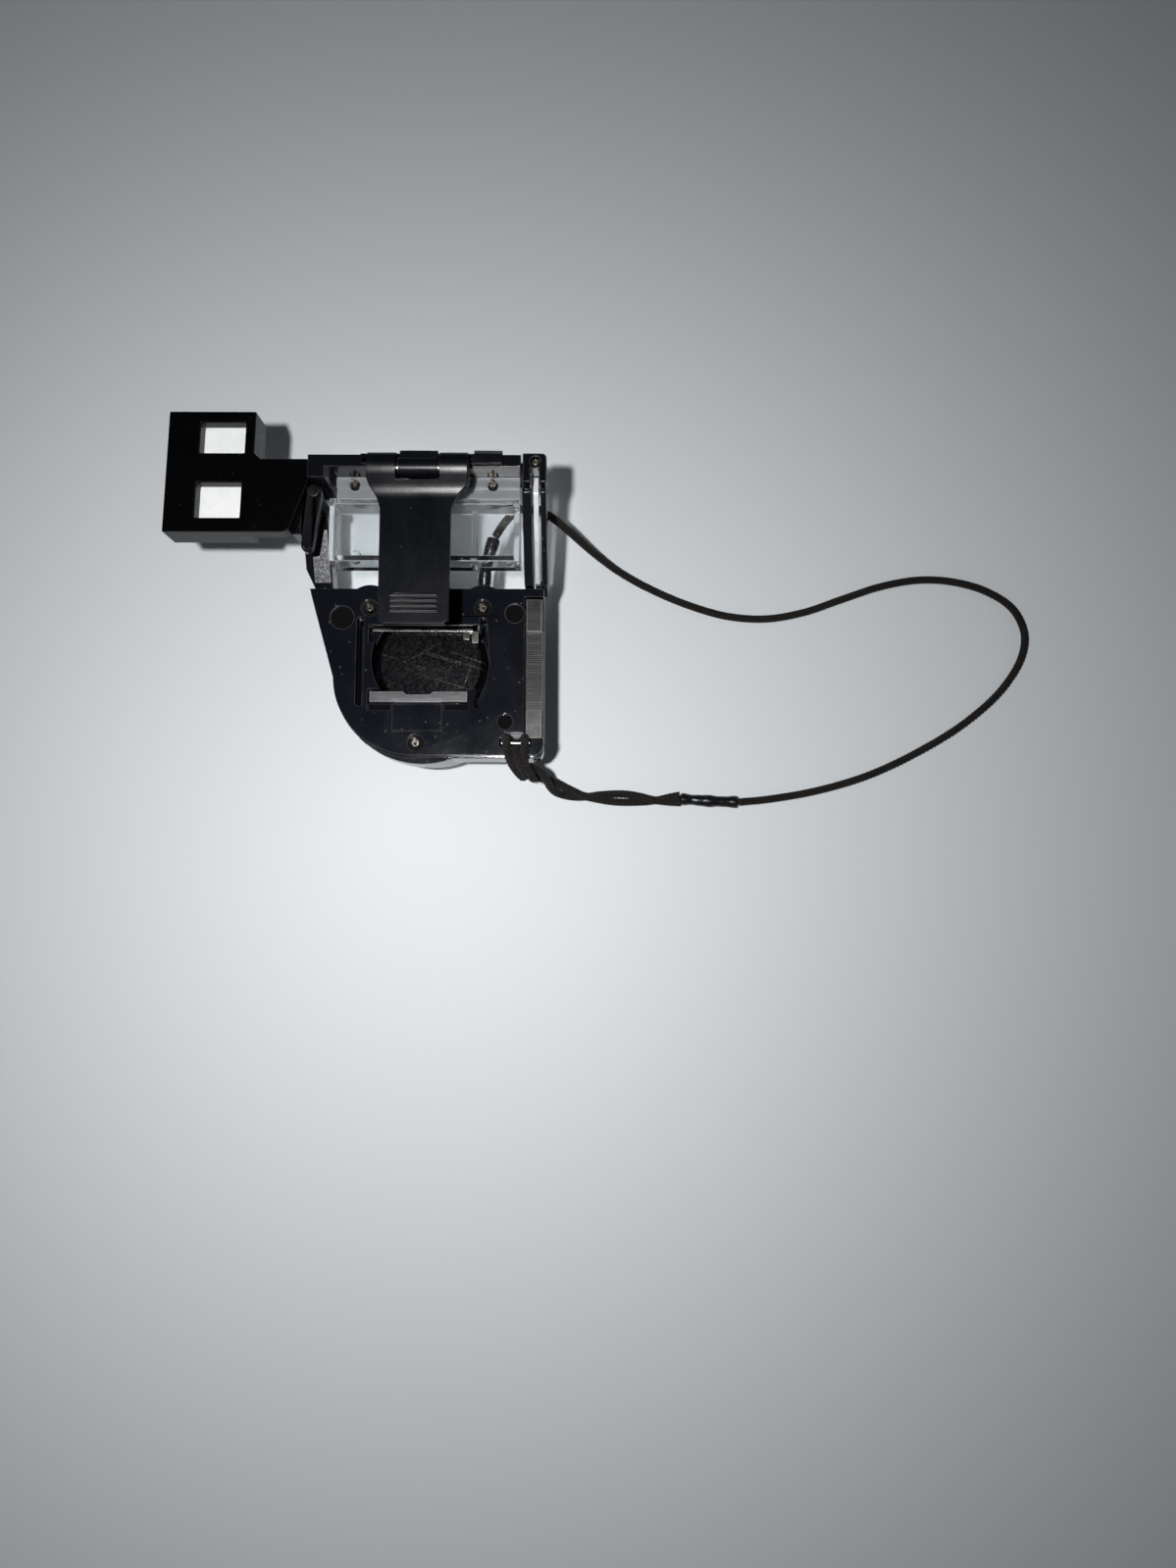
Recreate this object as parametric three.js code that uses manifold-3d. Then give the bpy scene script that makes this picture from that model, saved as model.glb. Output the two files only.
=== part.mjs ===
// Clip-on motion sensor, standing on its round front with its back upward.
// Millimetres, +Z up. Everything is built about the drum's axis and then moved
// so that the origin is the bottom centre of the bounding box.
import * as THREE from "three";
import { mergeVertices } from "three/addons/utils/BufferGeometryUtils.js";
import Module from "manifold-3d";

const wasm = await Module();
wasm.setup();

// ---- Driving dimensions ----
const GAP = 0.3; // clearance between pieces that touch

// drum
const DRUM_R = 15;
const BEZEL_TOP = 3;
const BARREL_TOP = 17;
const BARREL_WALL = 1.6;
const LENS_R = 11.3;
const BOARD_Z = 11.5;

// lower body: front case below, back cover above
const CASE_R = 16;
const CASE_Y = -0.5; // the case's round is a little off the drum's axis
const CASE_FLOOR = 17.3;
const CASE_TOP = 23;
const COVER_FLOOR = 23.3;
const COVER_TOP = 25.5;
const COVER_ARC = { x: -1.5, y: -0.8, r: 14.4 };
const BODY_RIGHT = 22.2;
const BODY_TOP = 15.4;
const BODY_BOTTOM = -15.3;
const BODY_LEFT = -20.5;
const CORNER_R = 2;

// coin cell and what holds it
const CELL = { x: 1.4, y: 2.3, r: 10, z0: 19.5, z1: 22.7 };
const OPENING_Y = [-3.3, 8.6];
const BAR = { x0: -9.3, x1: 8.4, y0: -5.5, y1: -3.6, z0: 23.6, z1: 25.2 };
const PAD = { x0: -5, x1: 3.9, y0: -10.9, y1: -6.1, rise: 0.35 };
const CONTACT_RECESS = { x0: -9.6, x1: 10.5, y0: 5.4 };
const CONTACT = { x0: -9.2, x1: 9.1, y0: 7.8, y1: 8.3, z0: 23.4, z1: 24 };
const RELIEF_SLOTS = [
  { from: [-11.1, -5.6], to: [-11.1, 9.4], width: 1.4 },
  { from: [11.2, 9.6], to: [11.7, 2.2], width: 1.3 },
  { from: [11.7, 2.2], to: [10.4, -5.8], width: 1.7 },
];
const RELIEF_FLOOR = 20;
const COVER_MARKS = [
  { x: 16.9, y: 10.8, r: 1.8 },
  { x: 15.3, y: -9.2, r: 1.45 },
  { x: -14.5, y: 10, r: 2.2 },
];

// cover screws
const SCREW_HEAD_R = 1.25;
const SCREW_SHANK_R = 0.65;
const COVER_SCREWS = {
  cover_screw_left: [-9.5, 11.8],
  cover_screw_right: [11.1, 11.8],
  cover_screw_bottom: [-0.8, -13],
};

// side strip and lanyard slot
const STRIP = { x0: 19, x1: 22.2, y0: -12.1, y1: 13.6, z0: 17.6, z1: 24.9 };
const STRIP_RECESS = { y0: -6.9, y1: 7.5, depth: 0.3 };
const STRIP_CHAMFER = { wide: 0.4, high: 0.8 };
const SLOT = { x0: 15.2, x1: 19.2, y0: -14.6, y1: -11.1 };
const LANYARD_BAR = { x0: 14.6, x1: 19.8, y: -12.95, z: 24.55, r: 0.5 };

// window frame: sides rise towards the hinge end
const FRAME_START = 15.9;
const FRAME_END = 34.8;
const FRAME_SLOPE = Math.tan(THREE.MathUtils.degToRad(25));
const FRAME_FLOOR_Z = 18.5;
const FRAME_PLATE = 4;
const FRAME_TOP_Z = 39.5;
const LEFT_POST = { x0: -21.6, x1: -16.9 };
const INNER_RAIL = { x0: 18.7, x1: 20.3 };
const OUTER_RAIL = { x0: 21.9, x1: 22.9 };
const GUIDE_STRIP = { x0: 20.6, x1: 21.6, y0: 16.2, y1: 32.4, drop: 0.5, thick: 1.2 };
const CAP = { x0: 19, x1: 23.1, y0: 29.8, y1: 34.9, z0: 36.4, z1: 40 };
const CAP_PIN = { x: 21.2, y: 33.4, r: 0.6 };
const CAP_NOTCH_END = 32.2;

// clear tray
const TRAY = { x0: -15.5, x1: 18.2, y0: 18.2, y1: 29.6, z0: 27, z1: 32.8 };
const TRAY_WALL = 1.1;
const TRAY_STUDS = [
  [-11.5, 20.6],
  [16, 20.4],
];
const FLANGE = { x0: -14.2, x1: 18.2, y1: 33.3, z0: 32, z1: 33.4 };
const TRAY_SCREWS = {
  tray_screw_left: [-11, 31.9],
  tray_screw_right: [13.4, 31.9],
};

// belt clip
const HINGE = { y: 31.7, z: 41.2, r: 2.5, pin: 1 };
const KNUCKLES = [
  [-7, -2.1],
  [5.2, 10],
];
const BARREL = { x0: -1.7, x1: 4.8, r: 1.75 };
const STRAP = { x0: -4.9, x1: 6.9, tip: 4.7, z0: 40.4, z1: 41.5 };
const GRIP_RIBS = { count: 4, first: 6.7, pitch: 0.9, width: 0.4, rise: 0.22, inset: 2 };
const FOOT = { x0: -8.6, x1: 15.6, y0: 32.9, y1: 34.6, thick: 0.6 };
const LUG_REACH = 0.55;

// side wing
const WING = { x0: -42.7, x1: -27.6, y0: 22, y1: 43.6, z0: 31, z1: 37 };
const WING_LEAN = 0.025; // sideways drift of the wing per millimetre of length
const ARM = { x1: -18.2, y0: 22.3, y1: 35.1, z0: 34 };
const WING_WINDOWS = {
  wing_window_upper: { x0: -37.1, x1: -29.3, y0: 36.1, y1: 41.6 },
  wing_window_lower: { x0: -37.3, x1: -29.5, y0: 24.5, y1: 30.8 },
};
const DIFFUSER = { z0: 32.6, z1: 34.4, lip: 1 };

// latch lever
const LEVER_PIVOT = { x: -17.3, y: 29.2, r: 1.3, pin: 0.55 };
const LEVER_TIP = { x: -19.3, y: 20.9, r: 1 };
const LEVER = { z: 35.2, thick: 1.5, fall: 0.36 };

// cord
const CORD_R = 0.825;
const SLEEVE_R = 1.3;
const CORD_ROUTE = [
  [13.0, 26.2, 22.2], [14.9, 29.0, 22.4], [17.2, 31.2, 22.5], [20.2, 32.0, 21.8],
  [23.2, 31.2, 19.6], [25.9, 30.2, 16.2], [28.8, 29.2, 11.5], [32.2, 27.9, 6.6],
  [36.6, 25.9, 2.7], [42.7, 22.9, 1.1], [50.8, 19.4, 0.9], [58.9, 17.0, 0.9],
  [66.9, 16.4, 0.9], [75.0, 17.8, 0.9], [83.0, 20.6, 0.9], [91.1, 23.3, 0.9],
  [99.1, 24.7, 0.9], [106.2, 24.3, 0.9], [113.2, 22.2, 0.9], [118.3, 18.6, 0.9],
  [120.5, 13.6, 0.9], [119.7, 8.4, 0.9], [115.2, 1.5, 0.9], [107.2, -5.5, 0.9],
  [97.1, -11.6, 0.9], [87.1, -16.2, 0.9], [77.0, -19.2, 0.9], [66.9, -21.0, 1.1],
  [61.0, -21.6, 1.5],
];
const EXIT_SLEEVE_ROUTE = [[10.8, 16.9, 20.7], [11.3, 20.8, 21.7], [12.8, 25.9, 22.2]];
const SPLICE_ROUTE = [[60.6, -21.6, 1.6], [54.6, -21.4, 1.9], [49.0, -21.0, 1.9]];
const TETHER_ROUTE = [
  [48.6, -21.0, 1.9], [43.8, -21.3, 1.8], [38.8, -20.9, 1.8], [33.6, -20.7, 1.8],
  [28.6, -20.4, 2.0], [25.2, -19.5, 3.7], [22.9, -18.5, 7.2], [21.4, -17.95, 12.4],
  [20.4, -17.8, 17.6], [19.5, -17.75, 21.6],
];
const TETHER_R = 1.45;
const KNOT_ROUTE = [
  [19.35, -17.7, 22.3], [18.8, -17.4, 25.1], [18.1, -16.2, 27.0], [17.5, -14.8, 27.6],
  [17.3, -13.4, 27.2],
];
const KNOT_R = 1.2;

// origin: bottom centre of the box without the cord, seen from the drum's axis
const BOX_CENTRE = {
  x: (leanX(WING.x0, WING.y0) + CAP.x1) / 2,
  y: (CASE_Y - CASE_R + WING.y1) / 2,
};

// ---- Materials ----
function finish(color, roughness, metalness = 0, extra = {}) {
  return new THREE.MeshStandardMaterial({ color, roughness, metalness, ...extra });
}
const SATIN_BLACK = finish(0x16181e, 0.45);
const GLOSS_BLACK = finish(0x0c0d12, 0.15);
const DEAD_BLACK = finish(0x050508, 0.95);
const CLIP_BLACK = finish(0x10121a, 0.35, 0.6);
const CLEAR = finish(0xe8f0f2, 0.05, 0, { transparent: true, opacity: 0.3 });
const MILK_WHITE = finish(0xf2f4f4, 0.5);
const STEEL = finish(0x8c8c90, 0.35, 0.9);
const DULL_STEEL = finish(0x3a3a3e, 0.5, 0.8);
const SCREW_STEEL = finish(0x5a5650, 0.4, 0.9);
const GREY_PLASTIC = finish(0x6a6c70, 0.5);
const BOARD_GREEN = finish(0x1d5a36, 0.5);
const BRAID = finish(0x1c1613, 0.9);
const SHRINK_TUBE = finish(0x0b0b0d, 0.35);

// ---- Shape helpers ----
// A closed three.js geometry as a manifold solid.
function solid(geometry) {
  const bare = geometry.index ? geometry.toNonIndexed() : geometry.clone();
  bare.deleteAttribute("normal");
  bare.deleteAttribute("uv");
  const merged = mergeVertices(bare, 1e-4);
  return new wasm.Manifold(
    new wasm.Mesh({
      numProp: 3,
      vertProperties: merged.attributes.position.array,
      triVerts: new Uint32Array(merged.index.array),
    }),
  );
}

function block(x0, x1, y0, y1, z0, z1) {
  const box = new THREE.BoxGeometry(x1 - x0, y1 - y0, z1 - z0);
  return solid(box.translate((x0 + x1) / 2, (y0 + y1) / 2, (z0 + z1) / 2));
}

// An upright cylinder, or a cone frustum where the top radius differs.
function post(x, y, r, z0, z1, sides = 32, topR = r) {
  const cylinder = new THREE.CylinderGeometry(topR, r, z1 - z0, sides);
  return solid(cylinder.rotateX(Math.PI / 2).translate(x, y, (z0 + z1) / 2));
}

// A cylinder along X.
function rod(x0, x1, y, z, r, sides = 24) {
  const cylinder = new THREE.CylinderGeometry(r, r, x1 - x0, sides);
  return solid(cylinder.rotateZ(Math.PI / 2).translate((x0 + x1) / 2, y, z));
}

// A flat outline given as a THREE.Shape or points, raised from z0 to z1.
function plate(outline, z0, z1, curveSegments = 12) {
  const shape = outline instanceof THREE.Shape
    ? outline
    : new THREE.Shape(outline.map(([x, y]) => new THREE.Vector2(x, y)));
  const raised = new THREE.ExtrudeGeometry(shape, {
    depth: z1 - z0,
    bevelEnabled: false,
    curveSegments,
  });
  return solid(raised.translate(0, 0, z0));
}

// A side profile of (y, z) points, carried along X from x0 to x1.
function wallAlongX(points, x0, x1) {
  const shape = new THREE.Shape(points.map(([y, z]) => new THREE.Vector2(y, z)));
  const wall = new THREE.ExtrudeGeometry(shape, { depth: x1 - x0, bevelEnabled: false });
  const toSide = new THREE.Matrix4().makeBasis(
    new THREE.Vector3(0, 1, 0),
    new THREE.Vector3(0, 0, 1),
    new THREE.Vector3(1, 0, 0),
  );
  return solid(wall.applyMatrix4(toSide).translate(x0, 0, 0));
}

// A front profile of (x, z) points, carried along Y from y0 to y1.
function wallAlongY(points, y0, y1) {
  const shape = new THREE.Shape(points.map(([x, z]) => new THREE.Vector2(x, z)));
  const wall = new THREE.ExtrudeGeometry(shape, { depth: y1 - y0, bevelEnabled: false });
  return solid(wall.rotateX(Math.PI / 2).translate(0, y1, 0));
}

// A body of revolution about the drum's axis from (radius, z) points.
function turned(points, sides = 64) {
  const profile = points.map(([r, z]) => new THREE.Vector2(r, z));
  return solid(new THREE.LatheGeometry(profile, sides).rotateX(Math.PI / 2));
}

// A round tube or strand along a smooth path through the points.
function strand(points, r, steps, sides = 8) {
  const stops = points.map((p) => new THREE.Vector3(...p));
  const path = new THREE.CatmullRomCurve3(stops, false, "centripetal");
  const section = new THREE.Shape();
  section.absarc(0, 0, r, 0, 2 * Math.PI);
  return solid(
    new THREE.ExtrudeGeometry(section, { steps, curveSegments: sides, extrudePath: path }),
  );
}

// A rounded slot between two points.
function slot(xa, ya, xb, yb, width, z0, z1) {
  const r = width / 2;
  const angle = Math.atan2(yb - ya, xb - xa) + Math.PI / 2;
  const shape = new THREE.Shape();
  shape.absarc(xb, yb, r, angle - Math.PI, angle);
  shape.absarc(xa, ya, r, angle, angle + Math.PI);
  return plate(shape, z0, z1, 8);
}

function joined(first, ...others) {
  return others.reduce((whole, piece) => whole.add(piece), first);
}

function cut(first, ...others) {
  return others.reduce((whole, piece) => whole.subtract(piece), first);
}

// Height of the frame's sloping underside at y.
function frameUnder(y) {
  return FRAME_FLOOR_Z + (y - FRAME_START) * FRAME_SLOPE;
}

// Leans a flat geometry's solid up the frame's slope.
function leaned(points, z0, z1) {
  const shape = new THREE.Shape(points.map(([x, y]) => new THREE.Vector2(x, y)));
  const flat = new THREE.ExtrudeGeometry(shape, { depth: z1 - z0, bevelEnabled: false });
  const lean = new THREE.Matrix4().makeShear(0, 0, 0, FRAME_SLOPE, 0, 0);
  return solid(flat.translate(0, 0, z0).applyMatrix4(lean));
}

const assembly = new THREE.Group();
assembly.position.set(-BOX_CENTRE.x, -BOX_CENTRE.y, 0);

// Adds a finished solid to the assembly as a named mesh.
function place(name, shape, material, parent = assembly) {
  const made = shape.getMesh();
  const geometry = new THREE.BufferGeometry();
  geometry.setAttribute("position", new THREE.BufferAttribute(made.vertProperties, 3));
  geometry.setIndex(new THREE.BufferAttribute(made.triVerts, 1));
  geometry.computeVertexNormals();
  const mesh = new THREE.Mesh(geometry, material);
  mesh.name = name;
  parent.add(mesh);
  return mesh;
}

// ---- Drum: the round front that the sensor looks out of ----
function frontBezel() {
  const lip = 1.4;
  return turned([
    [LENS_R - lip, 2.4], [LENS_R + GAP, 2.4], [LENS_R + GAP, 0.9], [LENS_R + 1.3, 0],
    [DRUM_R - 0.5, 0], [DRUM_R, 0.5], [DRUM_R, BEZEL_TOP], [LENS_R - lip, BEZEL_TOP],
    [LENS_R - lip, 2.4],
  ]);
}

// A thin lens of stepped rings, smooth outside and toothed inside.
function fresnelLens() {
  const rings = 7;
  const tooth = 0.3;
  const inside = [];
  for (let i = rings; i > 0; i--) {
    const r = (LENS_R - 1.8) * (i / rings);
    inside.push([r, 2.05], [r - 0.25, 2.05 - tooth]);
  }
  return turned([
    [0, 0.7], [LENS_R * 0.6, 0.85], [LENS_R, 1.2], [LENS_R, 2.05],
    ...inside, [0, 2.05 - tooth],
  ]);
}

function drumBarrel() {
  const inner = DRUM_R - BARREL_WALL;
  const ledge = 1.3;
  const ledgeTop = BOARD_Z - GAP;
  return turned([
    [inner, BEZEL_TOP + GAP], [DRUM_R, BEZEL_TOP + GAP], [DRUM_R, BARREL_TOP], [inner, BARREL_TOP],
    [inner, ledgeTop], [inner - ledge, ledgeTop], [inner - ledge, ledgeTop - 1.2], [inner, ledgeTop - 2.4],
    [inner, BEZEL_TOP + GAP],
  ]);
}

function circuitBoard() {
  const top = BOARD_Z + 1.6;
  const root = top - 0.1;
  const board = post(0, 0, 12.8, BOARD_Z, top, 48);
  const chip = block(-3.5, 3.5, 2, 8, root, top + 1.4);
  const capacitor = post(-6, -4, 2, root, top + 2.8, 20);
  const socket = block(3, 8.5, -6, -2, root, top + 2.4);
  return joined(board, chip, capacitor, socket);
}

// The heat detector's metal can, looking out through the lens.
function sensorCan() {
  const top = BOARD_Z - GAP;
  const canHeight = 4;
  const flange = post(0, 0, 4.6, top - 0.6, top, 32);
  const can = post(0, 0, 4.1, top - canHeight, top - 0.5, 32);
  const eye = block(-1.5, 1.5, -1.2, 1.2, top - canHeight - 0.1, top - canHeight + 0.2);
  return cut(joined(flange, can), eye);
}

// ---- Lower body ----
// Outline of the back cover: a slanting left side, a round lower left and a square right.
function bodyOutline(grow) {
  const { x, y, r } = COVER_ARC;
  const shape = new THREE.Shape();
  const bottom = BODY_BOTTOM - grow;
  shape.moveTo(BODY_LEFT - grow, BODY_TOP);
  shape.lineTo(BODY_LEFT + 0.4 - grow, BODY_TOP - 1.6);
  shape.absarc(x, y, r + grow, Math.PI + 0.02, 1.5 * Math.PI);
  shape.lineTo(BODY_RIGHT - CORNER_R, bottom);
  shape.absarc(BODY_RIGHT - CORNER_R, bottom + CORNER_R, CORNER_R, -Math.PI / 2, 0);
  shape.lineTo(BODY_RIGHT, BODY_TOP);
  return shape;
}

// What both halves of the lower body leave free: strip pocket, lanyard slot and bosses.
function bodyHalf(grow, z0, z1) {
  const bossR = 4.3;
  const [leftScrew, rightScrew] = [COVER_SCREWS.cover_screw_left, COVER_SCREWS.cover_screw_right];
  const whole = joined(
    plate(bodyOutline(grow), z0, z1, 24),
    post(...leftScrew, bossR, z0, z1, 40),
    post(...rightScrew, bossR, z0, z1, 40),
  );
  return cut(
    whole,
    block(STRIP.x0 - GAP, STRIP.x1 + 2, STRIP.y0 - GAP, STRIP.y1 + GAP, z0 - 1, z1 + 1),
    block(SLOT.x0, SLOT.x1, SLOT.y0, SLOT.y1, z0 - 1, z1 + 1),
  );
}

// The narrow slots that leave the cover's tongues free beside the battery opening.
function reliefSlots(z0, z1) {
  return RELIEF_SLOTS.map(({ from, to, width }) => slot(...from, ...to, width, z0, z1));
}

function frontCase() {
  const wall = 1.8;
  const above = CASE_TOP + 1;
  const wellFloor = CELL.z0 - GAP - 0.5;
  const shell = joined(
    bodyHalf(0.3, CASE_FLOOR, CASE_TOP),
    post(0, CASE_Y, CASE_R, CASE_FLOOR, CASE_TOP - 0.6, 72),
  );
  const well = post(CELL.x, CELL.y, CELL.r + 0.5, wellFloor, above, 48);
  const rightPocket = block(13.2, STRIP.x0 - GAP - wall, -9.5, 9, CASE_FLOOR + wall, above);
  const leftPocket = plate([[-18.2, 12.6], [-15, 2.2], [-15, 12.6]], CASE_FLOOR + wall, above);
  const wireHole = post(0, -6, 1, CASE_FLOOR - 1, CASE_TOP, 16);
  const screwHoles = Object.values(COVER_SCREWS).map(([x, y]) =>
    post(x, y, SCREW_SHANK_R + GAP, CASE_FLOOR + 1, above, 20),
  );
  const railSeat = block(
    INNER_RAIL.x0 - GAP, BODY_RIGHT + 1, FRAME_START - 1.2, BODY_TOP + 1, CASE_TOP - 2, above,
  );
  return cut(
    shell, well, rightPocket, leftPocket, wireHole, railSeat, ...screwHoles,
    ...reliefSlots(RELIEF_FLOOR, above),
  );
}

function backCover() {
  const below = COVER_FLOOR - 1;
  const above = COVER_TOP + 1;
  const markDepth = 0.25;
  const headSeat = 0.7;
  const opening = joined(
    post(CELL.x, CELL.y, CELL.r + 0.4, below, above, 56).intersect(
      block(-20, 20, OPENING_Y[0], OPENING_Y[1], below, above),
    ),
    block(CONTACT_RECESS.x0, CONTACT_RECESS.x1, CONTACT_RECESS.y0, OPENING_Y[1], below, above),
  );
  const barPocket = block(BAR.x0 - GAP, BAR.x1 + GAP, BAR.y0 - GAP, OPENING_Y[0] + 0.1, below, above);
  const besidePad = [
    [BAR.x0 - GAP, PAD.x0 - GAP],
    [PAD.x1 + GAP, BAR.x1 + GAP],
  ].map(([a, b]) => block(a, b, PAD.y1 - 1, BAR.y0, COVER_TOP - 0.8, above));
  const marks = COVER_MARKS.map(({ x, y, r }) => post(x, y, r, COVER_TOP - markDepth, above));
  const screwHoles = Object.values(COVER_SCREWS).flatMap(([x, y]) => [
    post(x, y, SCREW_SHANK_R + GAP, below, above, 20),
    post(x, y, SCREW_HEAD_R + GAP, COVER_TOP - headSeat, above, 32),
  ]);
  const seatR = LANYARD_BAR.r + GAP;
  const barSeat = block(
    LANYARD_BAR.x0 - GAP, LANYARD_BAR.x1 + GAP, LANYARD_BAR.y - seatR, LANYARD_BAR.y + seatR,
    LANYARD_BAR.z - seatR, above,
  );
  const cordNotch = block(
    SLOT.x0 + 0.2, SLOT.x1 - 0.2, BODY_BOTTOM - 1, SLOT.y0 + 0.1, COVER_TOP - 0.9, above,
  );
  const pad = block(PAD.x0, PAD.x1, PAD.y0, PAD.y1, COVER_TOP - 0.5, COVER_TOP + PAD.rise);
  return cut(
    joined(bodyHalf(0, COVER_FLOOR, COVER_TOP), pad),
    opening, barPocket, ...besidePad, ...marks, ...screwHoles, barSeat, cordNotch,
    ...reliefSlots(below, above),
  );
}

// ---- Battery bay ----
function coinCell() {
  const { x, y, r, z0, z1 } = CELL;
  const can = post(x, y, r, z0, z1 - 0.5, 48);
  const cap = post(x, y, r - 0.6, z1 - 0.6, z1, 48);
  return joined(can, cap);
}

// A thin spring strip along the opening's upper edge, with two short prongs over the cell.
function upperContact() {
  const { x0, x1, y0, y1, z0, z1 } = CONTACT;
  const strip = block(x0, x1, y0, y1, z0, z1);
  const prongs = [
    block(7.4, 8.6, y0 - 1.5, y0 + 0.1, z0, z0 + 0.4),
    block(9, 10.2, y0 - 2.1, y0 - 0.2, z0, z0 + 0.4),
    block(8.4, 10.2, y0 - 0.4, y0 + 0.1, z0, z0 + 0.4),
  ];
  return joined(strip, ...prongs);
}

function lowerContact() {
  const thick = 0.35;
  const top = CELL.z0 - GAP;
  return block(CELL.x - 6, CELL.x + 6, CELL.y - 1.5, CELL.y + 1.5, top - thick - 0.05, top - 0.05);
}

function retainingBar() {
  const { x0, x1, y0, y1, z0, z1 } = BAR;
  const notchY = y1 - 0.55;
  const bar = block(x0, x1, y0, y1, z0, z1);
  const notch = plate([[-4.4, y1 + 1], [-2.6, notchY], [1.6, notchY], [3.4, y1 + 1]], z0 - 1, z1 + 1);
  const thumbStep = block(PAD.x0 + 0.2, PAD.x1 - 0.2, y0 - 1, y0 + 0.35, z1 - 0.5, z1 + 1);
  return cut(bar, notch, thumbStep);
}

// A small cross-head screw with its head's underside at z.
function crossScrew(x, y, z, length, headR = SCREW_HEAD_R, headHeight = 0.65) {
  const head = turned([
    [0, 0], [headR, 0], [headR, headHeight * 0.45], [headR * 0.72, headHeight * 0.88],
    [headR * 0.3, headHeight], [0, headHeight],
  ], 24).translate([x, y, z]);
  const shank = post(x, y, SCREW_SHANK_R, z - length, z + 0.1, 14);
  const long = headR * 0.62;
  const thin = headR * 0.14;
  return cut(
    joined(head, shank),
    block(x - long, x + long, y - thin, y + thin, z + headHeight * 0.45, z + 2),
    block(x - thin, x + thin, y - long, y + long, z + headHeight * 0.45, z + 2),
  );
}

// ---- Side strip and lanyard bar ----
function sideStrip() {
  const { x0, x1, y0, y1, z0, z1 } = STRIP;
  const bar = block(x0, x1, y0, y1, z0, z1);
  const recess = block(
    x0 - 1, x1 + 1, STRIP_RECESS.y0, STRIP_RECESS.y1, z1 - STRIP_RECESS.depth, z1 + 1,
  );
  const { wide, high } = STRIP_CHAMFER;
  const bevel = wallAlongY([
    [x1 - wide, z1 + 0.1], [x1 + 1, z1 + 0.1], [x1 + 1, z1 - high], [x1 + 0.1, z1 - high],
  ], y0 - 1, y1 + 1);
  return cut(bar, recess, bevel);
}

// ---- Window frame ----
// Side profile of a rail: a sloping underside and a top that falls from the hinge end.
function railProfile(topZ) {
  return [
    [FRAME_START, frameUnder(FRAME_START)],
    [FRAME_END, frameUnder(FRAME_END)],
    [FRAME_END, topZ],
    [CAP.y0 - GAP, topZ],
    [FRAME_START, COVER_TOP + 0.4],
  ];
}

// Side profile of the strip between the two rails, a little under their tops.
function guideProfile() {
  const { y0, y1, drop, thick } = GUIDE_STRIP;
  const kneeY = CAP.y0 - GAP;
  const kneeZ = CAP.z0 - GAP;
  const slope = (kneeZ - COVER_TOP - 0.4) / (kneeY - FRAME_START);
  const startZ = kneeZ - (kneeY - y0) * slope;
  const line = [[y0, startZ], [kneeY, kneeZ], [y1, kneeZ]];
  const under = line.map(([y, z]) => [y, z - drop - thick]);
  return [...under, ...line.map(([y, z]) => [y, z - drop]).reverse()];
}

// The room that the strap's knuckles turn in.
function knuckleRoom() {
  return KNUCKLES.map(([a, b]) => rod(a - 0.4, b + 0.4, HINGE.y, HINGE.z, HINGE.r + 0.35, 40));
}

function windowFrame() {
  const { x0, x1 } = LEFT_POST;
  const wall = 1.3;
  const barX0 = -17.8;
  const wingSeat = ARM.z0 - GAP;
  const plateLift = FRAME_FLOOR_Z - FRAME_START * FRAME_SLOPE;
  const leftPost = leaned([
    [x0 + 1.5, FRAME_START], [x1, FRAME_START], [x1, FRAME_END], [x0, FRAME_END], [x0, FRAME_START + 3.5],
  ], plateLift, plateLift + FRAME_PLATE);
  const webStart = ARM.y0 + 0.4;
  const outerWeb = wallAlongX([
    [webStart, frameUnder(ARM.y0)], [FRAME_END, frameUnder(FRAME_END)], [FRAME_END, wingSeat],
    [webStart, wingSeat],
  ], x0, x0 + 1.4);
  const endWall = block(x0, INNER_RAIL.x1, FRAME_END - wall, FRAME_END, 28, wingSeat);
  const topWall = block(barX0, INNER_RAIL.x1, FRAME_END - wall, FRAME_END, 28, FRAME_TOP_Z);
  const topBar = block(barX0, INNER_RAIL.x1, 32.7, FRAME_END, 35, FRAME_TOP_Z);
  const cornerBlock = block(barX0, -14.9, 30.8, FRAME_END, 28.5, FRAME_TOP_Z);
  const rail = wallAlongX(railProfile(CAP.z0 - GAP), INNER_RAIL.x0, INNER_RAIL.x1);
  const [bossFloor, bossTop] = [28.2, FLANGE.z0 - GAP];
  const bosses = Object.values(TRAY_SCREWS).map(([x, y]) =>
    joined(
      post(x, y, 1.7, bossFloor, bossTop, 24),
      block(x - 1.2, x + 1.2, y, FRAME_END - 0.5, bossFloor, bossTop),
    ),
  );
  const pivot = LEVER_PIVOT;
  const pivotBoss = post(pivot.x, pivot.y, 1.1, 26, LEVER.z - LEVER.thick / 2 - 1.1, 20);
  const frame = joined(leftPost, outerWeb, endWall, topBar, topWall, cornerBlock, rail, pivotBoss, ...bosses);
  const screwHoles = Object.values(TRAY_SCREWS).map(([x, y]) =>
    post(x, y, SCREW_SHANK_R + GAP, 29, 34, 16),
  );
  const pinHole = post(pivot.x, pivot.y, pivot.pin + GAP, 30, 40, 16);
  const capSeat = block(CAP.x0 - GAP, CAP.x1, CAP.y0 - GAP, CAP.y1, CAP.z0 - GAP, FRAME_TOP_Z + 1);
  return cut(frame, ...screwHoles, ...knuckleRoom(), pinHole, capSeat);
}

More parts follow.
